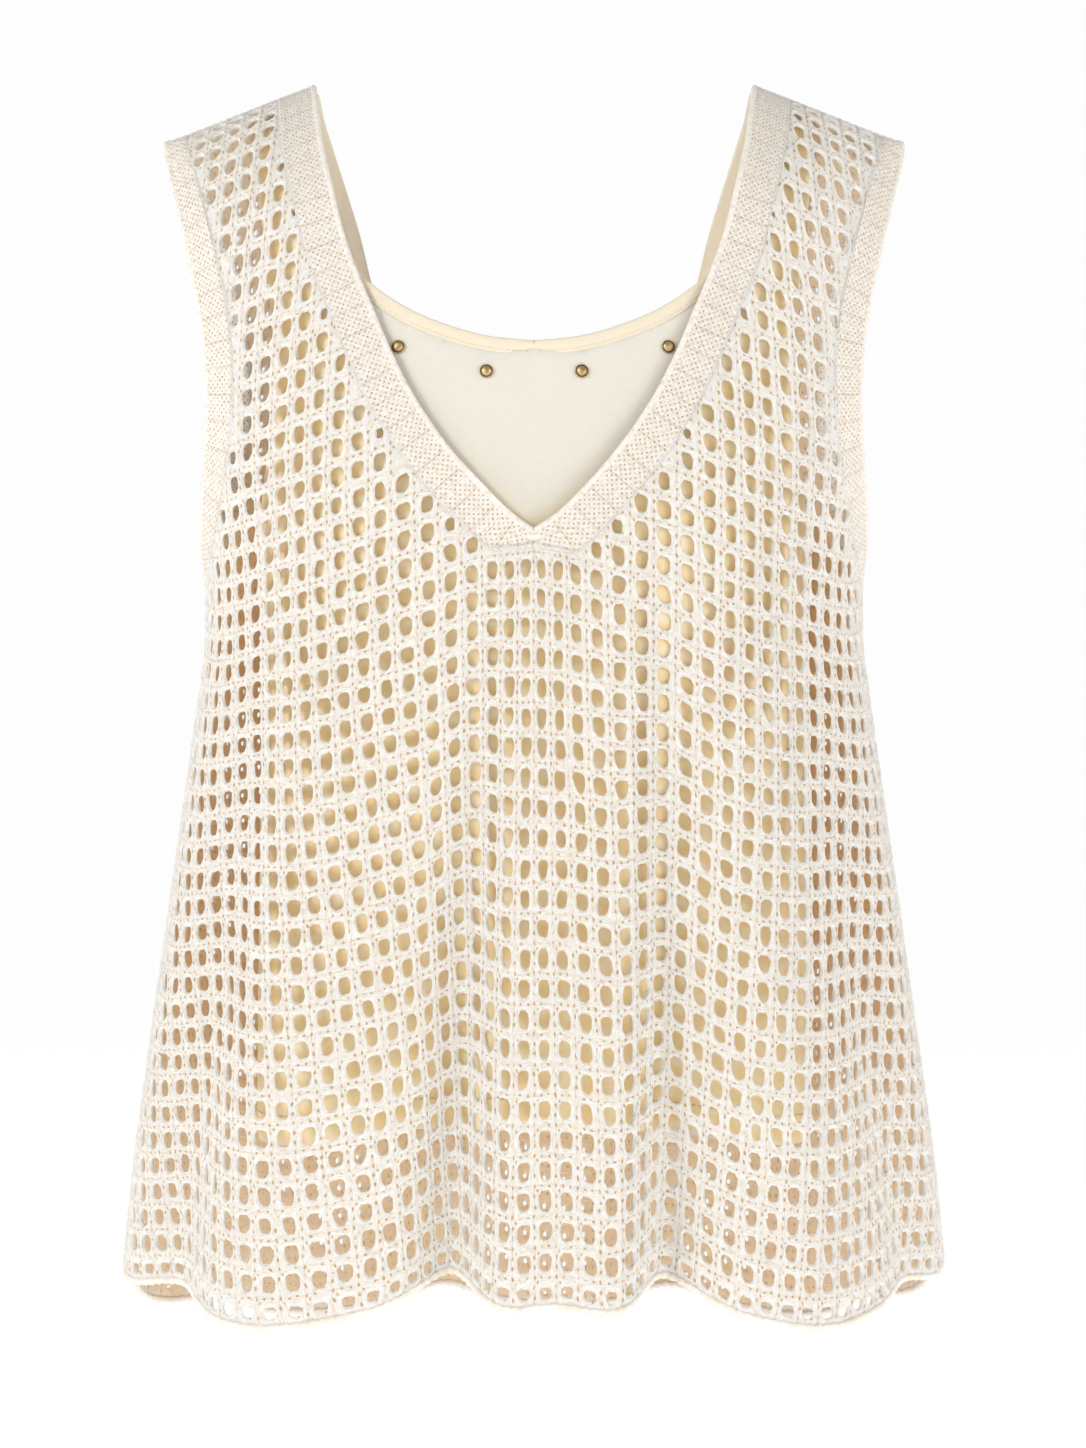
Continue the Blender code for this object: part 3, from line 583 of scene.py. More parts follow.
knit_front = Shell(-1, KNIT_RINGS, KNIT_UNDERARM, 1.0, KNIT_HEM, 0.0, FRONT_FOLDS)
knit_back = Shell(1, KNIT_RINGS, KNIT_UNDERARM, 1.0, KNIT_HEM, 0.0, BACK_FOLDS)
slip_front = Shell(-1, LINING_RINGS, LINING_UNDERARM, LINING_SQUARENESS, LINING_HEM,
                   LINING_DROP, LINING_FRONT_FOLDS)
slip_back = Shell(1, LINING_RINGS, LINING_UNDERARM, LINING_SQUARENESS, LINING_HEM,
                  LINING_DROP, LINING_BACK_FOLDS)
net_front_panel = Panel(knit_front, FRONT_NECK, NECK_BAND_WIDTH, NECK_BASE_SHARE,
                       ARMHOLE_BAND_WIDTH)
net_back_panel = Panel(knit_back, BACK_NECK, NECK_BAND_WIDTH, NECK_BASE_SHARE,
                       ARMHOLE_BAND_WIDTH)
slip_front_panel = Panel(slip_front, LINING_FRONT_NECK, NECK_BINDING_WIDTH,
                         BINDING_BASE_SHARE, 0.0)
slip_back_panel = Panel(slip_back, LINING_BACK_NECK, NECK_BINDING_WIDTH,
                         BINDING_BASE_SHARE, 0.0)


# ---------------------------------------------------------------- cloth

def coordinates(bm):
    return np.array([vert.co[:] for vert in bm.verts])


def write_pattern(bm, flat):
    """Keep each corner's place in the flat pattern, in the pattern's own units."""
    layer = bm.loops.layers.uv.new("pattern")
    for face in bm.faces:
        for loop in face.loops:
            loop[layer].uv = flat[loop.vert.index]


def wrap(bm, middle, normal, height):
    """Give a laid-out sheet its outer and inner side, closed where its height is nothing."""
    twin = bm.verts.layers.int.new("twin")
    for k, vert in enumerate(bm.verts):
        vert[twin] = k
    copied = bmesh.ops.duplicate(bm, geom=bm.verts[:] + bm.edges[:] + bm.faces[:])["geom"]
    inner_faces = [item for item in copied if isinstance(item, bmesh.types.BMFace)]
    inner = {item for item in copied if isinstance(item, bmesh.types.BMVert)}
    outer_places = middle + normal * height[:, None]
    inner_places = middle - normal * height[:, None]
    for vert in bm.verts:
        k = vert[twin]
        vert.co = inner_places[k] if vert in inner else outer_places[k]
    bmesh.ops.reverse_faces(bm, faces=inner_faces)
    bmesh.ops.remove_doubles(bm, verts=bm.verts[:], dist=2e-6)
    bmesh.ops.recalc_face_normals(bm, faces=bm.faces[:])
    bm.verts.layers.int.remove(bm.verts.layers.int["twin"])


def flatten_rim(bm, height):
    """Close the two sides of a sheet on each other along its boundary."""
    for vert in bm.verts:
        if vert.is_boundary:
            height[vert.index] = 0.0


def place_in_scene(name, data):
    item = bpy.data.objects.new(name, data)
    bpy.context.scene.collection.objects.link(item)
    return item


def finish_piece(name, bm, material, node=None, smooth_angle=60.0):
    """Make the piece, and have it stand for its solid where it has one."""
    mesh = bpy.data.meshes.new(name)
    bm.to_mesh(mesh)
    bm.free()
    mesh.shade_smooth()
    mesh.set_sharp_from_angle(angle=math.radians(smooth_angle))
    mesh.materials.append(material)
    piece = place_in_scene(name, mesh)
    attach(piece, "root")
    if node:
        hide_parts(node)
    return piece


def write_attribute(mesh, name, values):
    layer = mesh.attributes.new(name, "FLOAT", "POINT")
    layer.data.foreach_set("value", values)


def faces_out(mesh):
    """Which points lie on the side that faces away from the garment's axis."""
    places = np.array([vert.co[:2] for vert in mesh.vertices])
    normals = np.array([vert.normal[:2] for vert in mesh.vertices])
    return (normals * places).sum(axis=1) > 0


def sheet_cells(panel, columns, rows, under):
    """A flat sheet of cells, less those that lie wholly beyond the panel's seams."""
    bm = bmesh.new()
    bmesh.ops.create_grid(bm, x_segments=2 * columns, y_segments=rows, size=0.5)
    bmesh.ops.translate(bm, verts=bm.verts, vec=(0.0, -0.5, 0.0))
    bmesh.ops.scale(bm, verts=bm.verts, vec=(2 * columns, -rows, 1.0))
    flat = coordinates(bm)
    u, v = warp(panel, flat[:, 0], flat[:, 1], columns, rows)
    near_neck = panel.neck_seam.nearest(u, v)[0]
    near_arm = panel.arm_seam.nearest(u, v)[0]
    lost = []
    for face in bm.faces:
        corners = [vert.index for vert in face.verts]
        beyond_side = np.abs(u[corners]).min() > panel.last_u
        if beyond_side or min(near_neck[corners].max(), near_arm[corners].max()) < -under:
            lost.append(face)
    bmesh.ops.delete(bm, geom=lost, context="FACES")
    return bm


def warp(panel, column, row, columns, rows):
    """Where a place in the flat pattern lies on the shell."""
    v = row / rows
    if columns != COLUMNS:
        return column / columns, v
    drawn = panel.draw * smooth((1.0 - v) / (1.0 - panel.neck_base))
    pulled = column * (1 - drawn * np.exp(-(column / DRAWN_COLUMNS) ** 2))
    leaning = smooth((v - LEAN_FROM) / (1.0 - LEAN_FROM))
    pulled += panel.lean * leaning * np.exp(-((column - LEAN_COLUMN) / LEAN_COLUMNS) ** 2)
    pitch = COLUMN_PITCH * (NARROW_PITCH + (1 - NARROW_PITCH) * smooth(v / FULL_PITCH_FROM))
    return panel.weave.u(pulled * pitch, v), v


def ring_turn(away, power):
    """Angles that spread a square ring's points evenly round a circle."""
    x, y = away[:, 0], away[:, 1]
    sideways = np.abs(x) > np.abs(y)
    larger = np.maximum(np.maximum(np.abs(x), np.abs(y)), 1e-9)
    smaller = np.where(sideways, y * np.sign(x), -x * np.sign(y))
    share = smaller / larger
    base = np.where(sideways, np.where(x > 0, 0.0, math.pi), np.sign(y) * math.pi / 2)
    return base + math.pi / 4 * np.sign(share) * np.abs(share) ** power


def net(name, panel, node, hole_width, hole_height, material):
    """The open mesh: a hole in every cell, with a proud rim round it."""
    rng = np.random.default_rng(SEED)
    bm = sheet_cells(panel, COLUMNS, ROWS, UNDER_BAND)
    bmesh.ops.bisect_edges(bm, edges=bm.edges[:], cuts=CELL_CUTS)
    first = len(bm.verts)
    cells = bm.faces[:]
    bmesh.ops.inset_individual(bm, faces=cells, thickness=RIM_INSET, depth=0.0)
    second = len(bm.verts)
    bmesh.ops.inset_individual(bm, faces=cells, thickness=RIM_INSET, depth=0.0)
    bm.verts.index_update()
    flat = coordinates(bm)
    count = len(flat)
    index = np.arange(count)
    on_rim = (index >= first) & (index < second)
    on_hole = index >= second

    column = np.clip(np.floor(flat[:, 0]).astype(int), -COLUMNS, COLUMNS - 1)
    row = np.clip(np.floor(flat[:, 1]).astype(int), 0, ROWS - 1)
    shape = (ROWS, 2 * COLUMNS)
    where = (row, column + COLUMNS)
    centre = np.stack((column + 0.5, row + 0.5), axis=1)
    middle_u, middle_v = warp(panel, centre[:, 0], centre[:, 1], COLUMNS, ROWS)
    inset = np.minimum(panel.neck_seam.nearest(middle_u, middle_v)[0],
                       panel.arm_seam.nearest(middle_u, middle_v)[0])
    inset = np.minimum(inset, (1.0 - np.abs(middle_u)) * SIDE_LENGTH)
    closed = inset < CLOSED_WITHIN
    eased = np.clip((inset - EASE[0]) / EASE[1], EASE[2], 1.0)

    def chance(middle, spread):
        return rng.normal(middle, spread, shape)[where]

    wide = hole_width * (1 + chance(*WIDTH_CHANCE)) * eased
    tall = hole_height * (1 + chance(*HEIGHT_CHANCE)) * eased
    tall = np.where(row == ROWS - 1, tall * LAST_ROW_SHARE, tall)
    lean = chance(*LEAN_CHANCE)
    taper = chance(*TAPER_CHANCE)
    shift_x = chance(*SHIFT_X_CHANCE)
    shift_y = chance(*SHIFT_Y_CHANCE)
    turn = ring_turn(flat[:, :2] - centre, np.where(on_hole, HOLE_TURN, RIM_TURN))
    wobble = 1 + rng.normal(*WOBBLE_CHANCE, count)
    unit = np.stack((np.cos(turn), np.sin(turn)), axis=1) * wobble[:, None]
    rim_wide = np.minimum(wide + RIM_MARGIN, WIDEST_RIM)
    rim_tall = np.minimum(tall + RIM_MARGIN, WIDEST_RIM)
    x = unit[:, 0] * 0.5 * np.where(on_hole, wide, rim_wide) * (1 - taper * unit[:, 1])
    y = unit[:, 1] * 0.5 * np.where(on_hole, tall, rim_tall)
    x = x + lean * y + shift_x
    y = y + shift_y
    inside = on_rim | on_hole
    moved = np.where(inside[:, None], centre + np.stack((x, y), axis=1), flat[:, :2])
    free = (~inside) & (flat[:, 1] > 0.01) & (flat[:, 1] < ROWS - 0.01)
    free &= np.abs(flat[:, 0]) < COLUMNS - 0.01
    moved = moved + np.where(free[:, None], rng.normal(*POINT_CHANCE, (count, 2)), 0.0)

    u, v = warp(panel, moved[:, 0], moved[:, 1], COLUMNS, ROWS)
    u, v = panel.neck_seam.tuck(u, v, UNDER_BAND)
    u, v = panel.arm_seam.tuck(u, v, UNDER_BAND)
    u, v = panel.tidy(u, v)

    height = np.where(on_rim & ~closed, RIM_HEIGHT, BAR_HEIGHT)
    height = height * (1 + rng.normal(*BULK_CHANCE, count))
    height = np.where(on_hole & ~closed, 0.0, height)
    flatten_rim(bm, height)
    write_pattern(bm, moved)
    opened = [face for face in cells if not closed[face.verts[0].index]]
    bmesh.ops.delete(bm, geom=opened, context="FACES")
    wrap(bm, panel.shell.points(u, v), panel.shell.normals(u, v), height)
    piece = finish_piece(name, bm, material, node)
    write_attribute(piece.data, "inside", np.where(faces_out(piece.data), 0.0, 1.0))
    return piece


def strip(name, panel, side, halves, stops, profile, row_step, material, node):
    """A band beside the neck edge or an armhole edge, built across its own width."""
    shell = panel.shell
    round_neck = side == "neck"
    tip = panel.neck_tip if round_neck else panel.arm_tip
    base = (panel.neck_base if round_neck else panel.arm_base) - panel.gap_v
    free_edge = panel.neck_edge if round_neck else panel.armhole_edge
    seam = panel.neck_band_seam if round_neck else panel.armhole_band_seam
    corner = 0.0 if round_neck else panel.last_u
    count = int(tip * TOTAL_ARC / row_step)
    levels = np.concatenate((
        np.linspace(panel.gap_v, tip, count),
        np.linspace(tip, base, 2 + int((base - tip) * TOTAL_ARC / row_step))[1:],
    ))
    shares = np.array(stops) / stops[-1]
    bm = bmesh.new()
    start = 0
    for sign in halves:
        bmesh.ops.create_grid(bm, x_segments=len(shares) - 1, y_segments=len(levels) - 1, size=0.5)
        bm.verts.ensure_lookup_table()
        for vert in bm.verts[start:]:
            k = int(round((vert.co.x + 0.5) * (len(shares) - 1)))
            m = int(round((vert.co.y + 0.5) * (len(levels) - 1)))
            level = levels[m]
            first_u = corner if level >= tip - 1e-9 else float(free_edge.at(level))
            last_u = float(seam.at(level))
            vert.co = (sign * (first_u + (last_u - first_u) * shares[k]), level, 0.0)
        start = len(bm.verts)
    flat = coordinates(bm)
    u, v = flat[:, 0], flat[:, 1]
    middle = shell.points(u, v)
    normal = shell.normals(u, v)
    along, across = along_edge(panel, side, u, middle)
    height = np.interp(across * MM, *np.array(profile).T) / MM
    keep = round_neck & (np.abs(u) < 1e-9) & (v < base)    # the two halves meet here
    joined = height[keep]
    bm.verts.index_update()
    flatten_rim(bm, height)
    height[keep] = joined
    write_pattern(bm, np.stack((along * MM, across * MM), axis=1))
    wrap(bm, middle, normal, height)
    return finish_piece(name, bm, material, node)


def along_edge(panel, side, u, places):
    """How far along the free edge each place is, and how far in from it, in metres."""
    shell = panel.shell
    edge = panel.neck_edge if side == "neck" else panel.armhole_edge
    tip = panel.neck_tip if side == "neck" else panel.arm_tip
    levels = np.linspace(0.0, tip, 400)
    us = edge.at(levels)
    us[-1] = 0.0 if side == "neck" else 1.0
    line = shell.points(us, levels)
    mirrored = places * sign_of(u)[:, None] ** np.array([1, 0, 0])
    distance, _, along = nearest_on_line(mirrored, line)
    return along, distance


# ---------------------------------------------------------------- finishes

def linear(red, green, blue):
    """A colour given as 0 to 255, for a shader socket."""
    shares = [value / 255 for value in (red, green, blue)]
    return tuple(s / 12.92 if s <= 0.04045 else ((s + 0.055) / 1.055) ** 2.4 for s in shares) + (1.0,)


class Value:
    """Something that a shader works out; arithmetic on it adds Math nodes."""

    def __init__(self, finish, node, output=0):
        self.finish = finish
        self.socket = node.outputs[output]

    def __add__(self, other):
        return self.finish.math("ADD", self, other)

    def __sub__(self, other):
        return self.finish.math("SUBTRACT", self, other)

    def __rsub__(self, other):
        return self.finish.math("SUBTRACT", other, self)

    def __mul__(self, other):
        return self.finish.math("MULTIPLY", self, other)

    def __truediv__(self, other):
        return self.finish.math("DIVIDE", self, other)


class Finish:
    """A material, with short ways to add and join its nodes."""

    def __init__(self, name, roughness, sheen=0.0, metallic=0.0):
        self.material = bpy.data.materials.new(name)
        self.material.use_nodes = True
        self.nodes = self.material.node_tree.nodes
        self.shader = self.nodes["Principled BSDF"]
        self.fill(self.shader, {"Roughness": roughness, "Metallic": metallic,
                                "Sheen Weight": sheen, "Sheen Roughness": 0.4})

    def fill(self, node, inputs):
        """Give a node's inputs, by name or number, a constant or another node's result."""
        for key, value in inputs.items():
            if isinstance(value, Value):
                self.material.node_tree.links.new(value.socket, node.inputs[key])
            else:
                node.inputs[key].default_value = value

    def node(self, kind, inputs, **settings):
        node = self.nodes.new("ShaderNode" + kind)
        for key, value in settings.items():
            setattr(node, key, value)
        self.fill(node, inputs)
        return node

    def math(self, operation, *values):
        return Value(self, self.node("Math", dict(enumerate(values)), operation=operation))

    def pattern(self):
        """The two coordinates of the piece's flat pattern, and both as a vector."""
        flat = Value(self, self.node("UVMap", {}, uv_map="pattern"))
        parts = self.node("SeparateXYZ", {0: flat})
        x, y = Value(self, parts, 0), Value(self, parts, 1)
        return x, y, self.vector(x, y)

    def vector(self, x, y):
        return Value(self, self.node("CombineXYZ", {0: x, 1: y, 2: 0.0}))

    def place(self):
        return Value(self, self.node("TexCoord", {}), "Object")

    def attribute(self, name):
        return Value(self, self.node("Attribute", {}, attribute_name=name), "Fac")

    def noise(self, vector, scale, detail=2.0, roughness=0.5):
        return Value(self, self.node("TexNoise", {
            "Vector": vector, "Scale": scale, "Detail": detail, "Roughness": roughness}), "Fac")

    def wave(self, value, length):
        return self.math("SINE", value * (2 * math.pi / length))

    def near_whole(self, value, offset=0.0):
        """Distance to the nearest whole number."""
        return self.math("ABSOLUTE", self.math("FRACT", value + (0.5 - offset)) - 0.5)

    def dot(self, x, y, width, height):
        """1 inside a small oval, falling to 0 at its edge."""
        across = self.math("POWER", x / width, 2.0)
        down = self.math("POWER", y / height, 2.0)
        return self.ramp(1.0 - (across + down), 0.0, 0.6)

    def ramp(self, value, low, high):
        return Value(self, self.node("MapRange", {
            "Value": value, "From Min": low, "From Max": high},
            interpolation_type="SMOOTHSTEP"), "Result")

    def mix(self, share, first, second):
        return Value(self, self.node("Mix", {0: share, 6: first, 7: second}, data_type="RGBA"), 2)

    def soften_with_painted_glow(self, glow):
        """Let light bleed a little way into the cloth, and give it a faint painted glow that stands
        in for light coming through.
        """
        self.fill(self.shader, {
            "Subsurface Weight": 0.50, "Subsurface Scale": 0.004,
            "Subsurface Radius": (1.0, 0.97, 0.92),
            "Emission Color": PAINTED_GLOW_COLOUR, "Emission Strength": glow})

    def colour(self, value):
        self.fill(self.shader, {"Base Color": value})

    def bump(self, height, distance, strength=1.0):
        node = self.node("Bump", {"Strength": strength, "Distance": distance, "Height": height})
        self.fill(self.shader, {"Normal": Value(self, node, "Normal")})


YARN = linear(240, 238, 234)
YARN_SHADE = linear(226, 213, 194)
BAND_YARN = linear(236, 230, 222)
BAND_SHADE = linear(222, 210, 195)
# painted shade: the tan of the shaded lining, put in the pinholes
PINHOLE_SHADE = linear(196, 164, 116)
COTTON = linear(223, 217, 204)
# painted shade on the lining where the knit lies over it, and lighter patches of it
KNIT_SHADE_COLOUR = linear(252, 221, 173)
KNIT_SHADE_LIGHTER = linear(255, 235, 198)
# painted shade on the inner face of the back's knit
INSIDE_PAINTED_SHADE = linear(215, 194, 167)
BINDING = linear(231, 218, 194)
PAINTED_GLOW_COLOUR = linear(255, 214, 165)   # colour of the painted glow, standing in for daylight that has come through the cloth
STRAP_GLOW_FADE = (0.10, 0.22)          # depths below the neck point over which the back's painted glow grows, straps to body
STRAP_GLOW_SHARE = 0.25                 # share of the body's painted glow on the straps' narrow back
THREAD_SHADE = linear(208, 188, 150)
THREAD_LIGHT = linear(226, 210, 178)
BRASS_LIGHT = linear(206, 182, 138)
BRASS_DARK = linear(158, 130, 88)
BRASS_RIM = linear(84, 62, 40)
TAPE_SHADE = linear(224, 214, 196)
TAPE_LIGHT = linear(238, 230, 214)
CORNER_PINHOLES = (
    # right and down in the cell, half-width, half-height
    (0.15, 0.17, 0.050, 0.065), (0.40, 0.38, 0.055, 0.085), (0.64, 0.66, 0.055, 0.085),
)
KNIT_ROUGHNESS = 0.80
KNIT_SHEEN = 0.15
PINHOLE_SHADE_SHARE = 0.90


def make_mesh_yarn(name, glow, shaded_inside):
    """Knitted mesh: fine strands round the holes, and pinholes in lines between them."""
    f = Finish(name, KNIT_ROUGHNESS, KNIT_SHEEN)
    x, y, spot = f.pattern()
    wander = (f.noise(spot, 2.3) - 0.5) * 0.22
    bent, sunk = x + wander, y + wander
    across, down = f.near_whole(bent), f.near_whole(sunk)
    holes = f.dot(across, f.near_whole(y * 3.0 + wander * 2.0), 0.060, 0.27)
    others = [f.dot(f.near_whole(bent, right), down, 0.070, 0.050) for right in (0.33, 0.67)]
    others += [f.dot(f.near_whole(bent, right), f.near_whole(sunk, low), width, height)
               for right, low, width, height in CORNER_PINHOLES]
    for other in others:
        holes = f.math("MAXIMUM", holes, other)
    holes = holes * f.ramp(f.noise(spot, 3.7, 1.0), 0.36, 0.54)
    # the grooves between the rims: a bump, and in the colour a darker tone that is painted shade
    groove_and_shade = 1.0 - f.ramp(f.math("MINIMUM", across, down), 0.03, 0.24)
    upright = f.noise(f.vector(x * 12.0, y * 2.6), 1.3, 4.0, 0.65)
    level = f.noise(f.vector(x * 2.2, y * 11.0), 1.3, 4.0, 0.65)
    on_bar = f.ramp(across - down, -0.05, 0.12)
    strands = upright * (1.0 - on_bar) + level * on_bar
    yarn = f.mix(f.ramp(groove_and_shade * 0.07 + strands, 0.42, 0.72), YARN, YARN_SHADE)
    if shaded_inside:
        # painted shade on the inner face
        inside = f.attribute("inside")
        yarn = f.mix(inside, yarn, INSIDE_PAINTED_SHADE)
        # painted glow on the inner face, weaker on the straps
        height = Value(f, f.node("SeparateXYZ", {0: f.place()}), 2)
        below_straps = f.ramp(0.0 - height, *STRAP_GLOW_FADE)
        glow = inside * (below_straps * (1.0 - STRAP_GLOW_SHARE) + STRAP_GLOW_SHARE) * glow
    # pinholes painted in the tan of shade seen through them
    f.colour(f.mix(holes * PINHOLE_SHADE_SHARE, yarn, PINHOLE_SHADE))
    f.bump(0.0 - strands * 1.6 - groove_and_shade * 0.15 - holes * 0.7, 0.0008)
    f.soften_with_painted_glow(glow)
    return f.material


def make_band_yarn():
    """Fine close knit: a lattice of pinholes 2.1 mm apart. The pattern is in millimetres."""
    f = Finish("band_yarn", KNIT_ROUGHNESS, KNIT_SHEEN)
    x, y, spot = f.pattern()
    inside = f.ramp(y, 2.2, 3.2)
    first, second = f.near_whole((x + y) / 2.9), f.near_whole((x - y) / 2.9)
    holes = f.dot(first, second, 0.27, 0.27) * inside
    holes = holes * f.ramp(f.noise(spot, 0.45, 1.0), 0.25, 0.60)
    rows = f.ramp(f.near_whole(x / 11.0), 0.06, 0.02) * inside
    tone = f.noise(spot, 0.5, 3.0) + rows * 0.25
    yarn = f.mix(f.ramp(tone, 0.35, 0.75), BAND_YARN, BAND_SHADE)
    # pinholes painted in the tan of shade seen through them
    f.colour(f.mix(holes * PINHOLE_SHADE_SHARE, yarn, PINHOLE_SHADE))
    body = f.wave(x, 1.05) * 0.18 + f.noise(spot, 1.4, 3.0, 0.6)
    f.bump(body - rows * 0.6 - holes * 1.5, 0.0004)
    # a faint painted glow
    f.soften_with_painted_glow(0.01)
    return f.material


def make_edge_yarn():
    f = Finish("edge_yarn", KNIT_ROUGHNESS, KNIT_SHEEN)
    place = f.place()
    f.colour(f.mix(f.ramp(f.noise(place, 60.0, 3.0), 0.30, 0.70), BAND_YARN, BAND_SHADE))
    f.bump(f.noise(place, 1400.0, 3.0, 0.6), 0.0003, 0.7)
    # a faint painted glow
    f.soften_with_painted_glow(0.012)
    return f.material


def make_woven(name, colour, painted_knit_shade):
    """Plain-woven cotton, in millimetres; where the knit lies over it the colour is painted shade,
    with a faint painted glow.
    """
    f = Finish(name, 0.85, sheen=0.10)
    x, y, spot = f.pattern()
    weave = f.wave(x, 0.55) * f.wave(y, 0.60)
    slub = f.noise(f.vector(x * 0.25, y), 0.9, 3.0, 0.6)
    shaded = tuple(channel * 0.93 for channel in colour[:3]) + (1.0,)
    base = f.mix(f.ramp(slub * 0.5 + weave * 0.08, 0.1, 0.5), shaded, colour)
    if painted_knit_shade:
        # painted shade under the knit, in lighter and darker patches, with a faint painted glow
        under = f.attribute("painted_knit_shade")
        patches = f.ramp(f.noise(spot, 0.11, 1.0), 0.42, 0.66)
        base = f.mix(under, base, f.mix(patches, KNIT_SHADE_COLOUR, KNIT_SHADE_LIGHTER))
        f.soften_with_painted_glow(under * 0.055)
    f.colour(base)
    f.bump(weave * 0.35 + slub, 0.00015, 0.6)
    return f.material


def make_thread():
    f = Finish("sewing_thread", 0.7)
    f.colour(f.mix(f.ramp(f.noise(f.place(), 90.0), 0.3, 0.7), THREAD_SHADE, THREAD_LIGHT))
    f.bump(f.noise(f.place(), 2600.0), 0.0001, 0.5)
    return f.material


def make_brass():
    """Aged brass, darker in its hollows and round its rim."""
    f = Finish("aged_brass", 0.52, metallic=1.0)
    place = f.place()
    patina = f.ramp(f.noise(place, 700.0, 4.0, 0.65), 0.35, 0.70)
    f.colour(f.mix(f.attribute("rim"), f.mix(patina, BRASS_LIGHT, BRASS_DARK), BRASS_RIM))
    f.bump(f.noise(place, 1300.0, 3.0), 0.0002, 0.5)
    return f.material


def make_tape():
    f = Finish("tape_cotton", 0.85)
    threads = f.noise(f.place(), 900.0)
    f.colour(f.mix(threads, TAPE_SHADE, TAPE_LIGHT))
    f.bump(threads, 0.0002, 0.6)
    return f.material


# the second numbers are the strength of each knit's painted glow
front_mesh_yarn = make_mesh_yarn("front_mesh_yarn", 0.012, False)
back_mesh_yarn = make_mesh_yarn("back_mesh_yarn", 0.135, True)
band_yarn = make_band_yarn()
edge_yarn = make_edge_yarn()
lining_weave = make_woven("lining_weave", COTTON, True)
binding_weave = make_woven("binding_weave", BINDING, False)
thread = make_thread()
aged_brass = make_brass()
tape_weave = make_tape()


# ---------------------------------------------------------------- the knit

net_front = net("open_knit_front", net_front_panel, "front_net", HOLE_WIDTH, HOLE_HEIGHT,
                front_mesh_yarn)
net_back = net("open_knit_back", net_back_panel, "back_net", BACK_HOLE_WIDTH, BACK_HOLE_HEIGHT,
               back_mesh_yarn)

NET_PANELS = (("front", net_front_panel), ("back", net_back_panel))
HANDS = (("left", -1), ("right", 1))
TUBE_STATIONS = 5          # rings in each turn length of a cord
TUBE_SIDES = 8
TUBE_TIP = 0.35            # the cord's end, against its radius
KNIT_BAND_STOPS = (0.0, 0.12, 0.4, 0.9, 1.5, 2.1, 2.7, 3.4, 5.0, 7.0, 9.0, 11.0, 13.0, 15.0, 16.2,
                   17.0, 17.7, 18.2, 18.6, 18.85, 19.0)
NECK_PROFILE = ((0.0, 0.0), (0.12, 0.65), (0.4, 1.12), (0.9, 1.50), (1.5, 1.60), (2.1, 1.40),
                (2.7, 1.10), (3.4, 1.05), (15.0, 1.05), (16.2, 1.20), (17.0, 1.45), (17.9, 1.50),
                (18.5, 1.15), (18.9, 0.55), (19.0, 0.50))
ARM_PROFILE = tuple((place * ARMHOLE_BAND_WIDTH / NECK_BAND_WIDTH, height)
                    for place, height in NECK_PROFILE)

for word, panel in NET_PANELS:
    node = "neck_band_" + word
    strip(node + "_knit", panel, "neck", (-1, 1), KNIT_BAND_STOPS, NECK_PROFILE,
                       BAND_STEP, band_yarn, node)
    for hand, sign in HANDS:
        node = "armhole_band_" + word + "_" + hand
        strip(node + "_knit", panel, "arm", (sign,), KNIT_BAND_STOPS, ARM_PROFILE,
                           BAND_STEP, band_yarn, node)


def tube(name, shell, u, v, radius, swell, turn_length, slot_name, beside=None):
    """A knitted cord laid along a line on a shell, swelling once in each turn length."""
    places = shell.points(u, v)
    normals = shell.normals(u, v)
    if beside is not None:
        normals = normals + beside.normals(u, v)
    along = lengths_along(places)
    count = int(along[-1] / turn_length * TUBE_STATIONS)
    stations = np.linspace(0.0, along[-1], count + 1)
    centre = np.stack([np.interp(stations, along, places[:, k]) for k in range(3)], axis=1)
    out = np.stack([np.interp(stations, along, normals[:, k]) for k in range(3)], axis=1)
    out /= np.linalg.norm(out, axis=1, keepdims=True)
    run = np.gradient(centre, axis=0)
    run /= np.linalg.norm(run, axis=1, keepdims=True)
    side = np.cross(run, out)
    side /= np.linalg.norm(side, axis=1, keepdims=True)
    phase = stations / turn_length
    size = radius * (1 + swell * np.cos(2 * math.pi * phase))
    size[0] = size[-1] = radius * TUBE_TIP
    bm = bmesh.new()
    bmesh.ops.create_grid(bm, x_segments=TUBE_SIDES, y_segments=count, size=0.5)
    for vert in bm.verts:
        angle = 2 * math.pi * round((vert.co.x + 0.5) * TUBE_SIDES) / TUBE_SIDES
        m = round((vert.co.y + 0.5) * count)
        vert.co = (centre[m] + out[m] * size[m] * math.cos(angle)
                   + side[m] * size[m] * math.sin(angle))
    bmesh.ops.remove_doubles(bm, verts=bm.verts[:], dist=1e-6)
    bmesh.ops.holes_fill(bm, edges=[edge for edge in bm.edges if edge.is_boundary], sides=0)
    bmesh.ops.recalc_face_normals(bm, faces=bm.faces[:])
    return finish_piece(name, bm, edge_yarn)


# radius, swell and turn length of each kind of cord
HEM_CORD = (0.0016, 0.18, 0.0042)
LINKING_CORD = (0.0011, 0.16, 0.0030)
SIDE_CORD = (0.0013, 0.10, 0.0040)
SHOULDER_CORD = (0.0016, 0.12, 0.0036)

for word, shell in (("front", knit_front), ("back", knit_back)):
    us = np.linspace(-1.0, 1.0, 400) * net_front_panel.last_u
    tube("hem_edging_" + word, shell, us, np.ones_like(us), *HEM_CORD, "net_knit")


def seam_line(panel, side):
    """u and v along the line where a band is linked to the mesh."""
    round_neck = side == "neck"
    seam = panel.neck_band_seam if round_neck else panel.armhole_band_seam
    base = panel.neck_base if round_neck else panel.arm_base
    levels = np.linspace(panel.gap_v, base, 260)
    across = seam.at(levels)
    foot = np.linspace(across[-1], 0.0 if round_neck else panel.last_u, 20)[1:]
    return np.concatenate((across, foot)), np.concatenate((levels, np.full(19, base)))


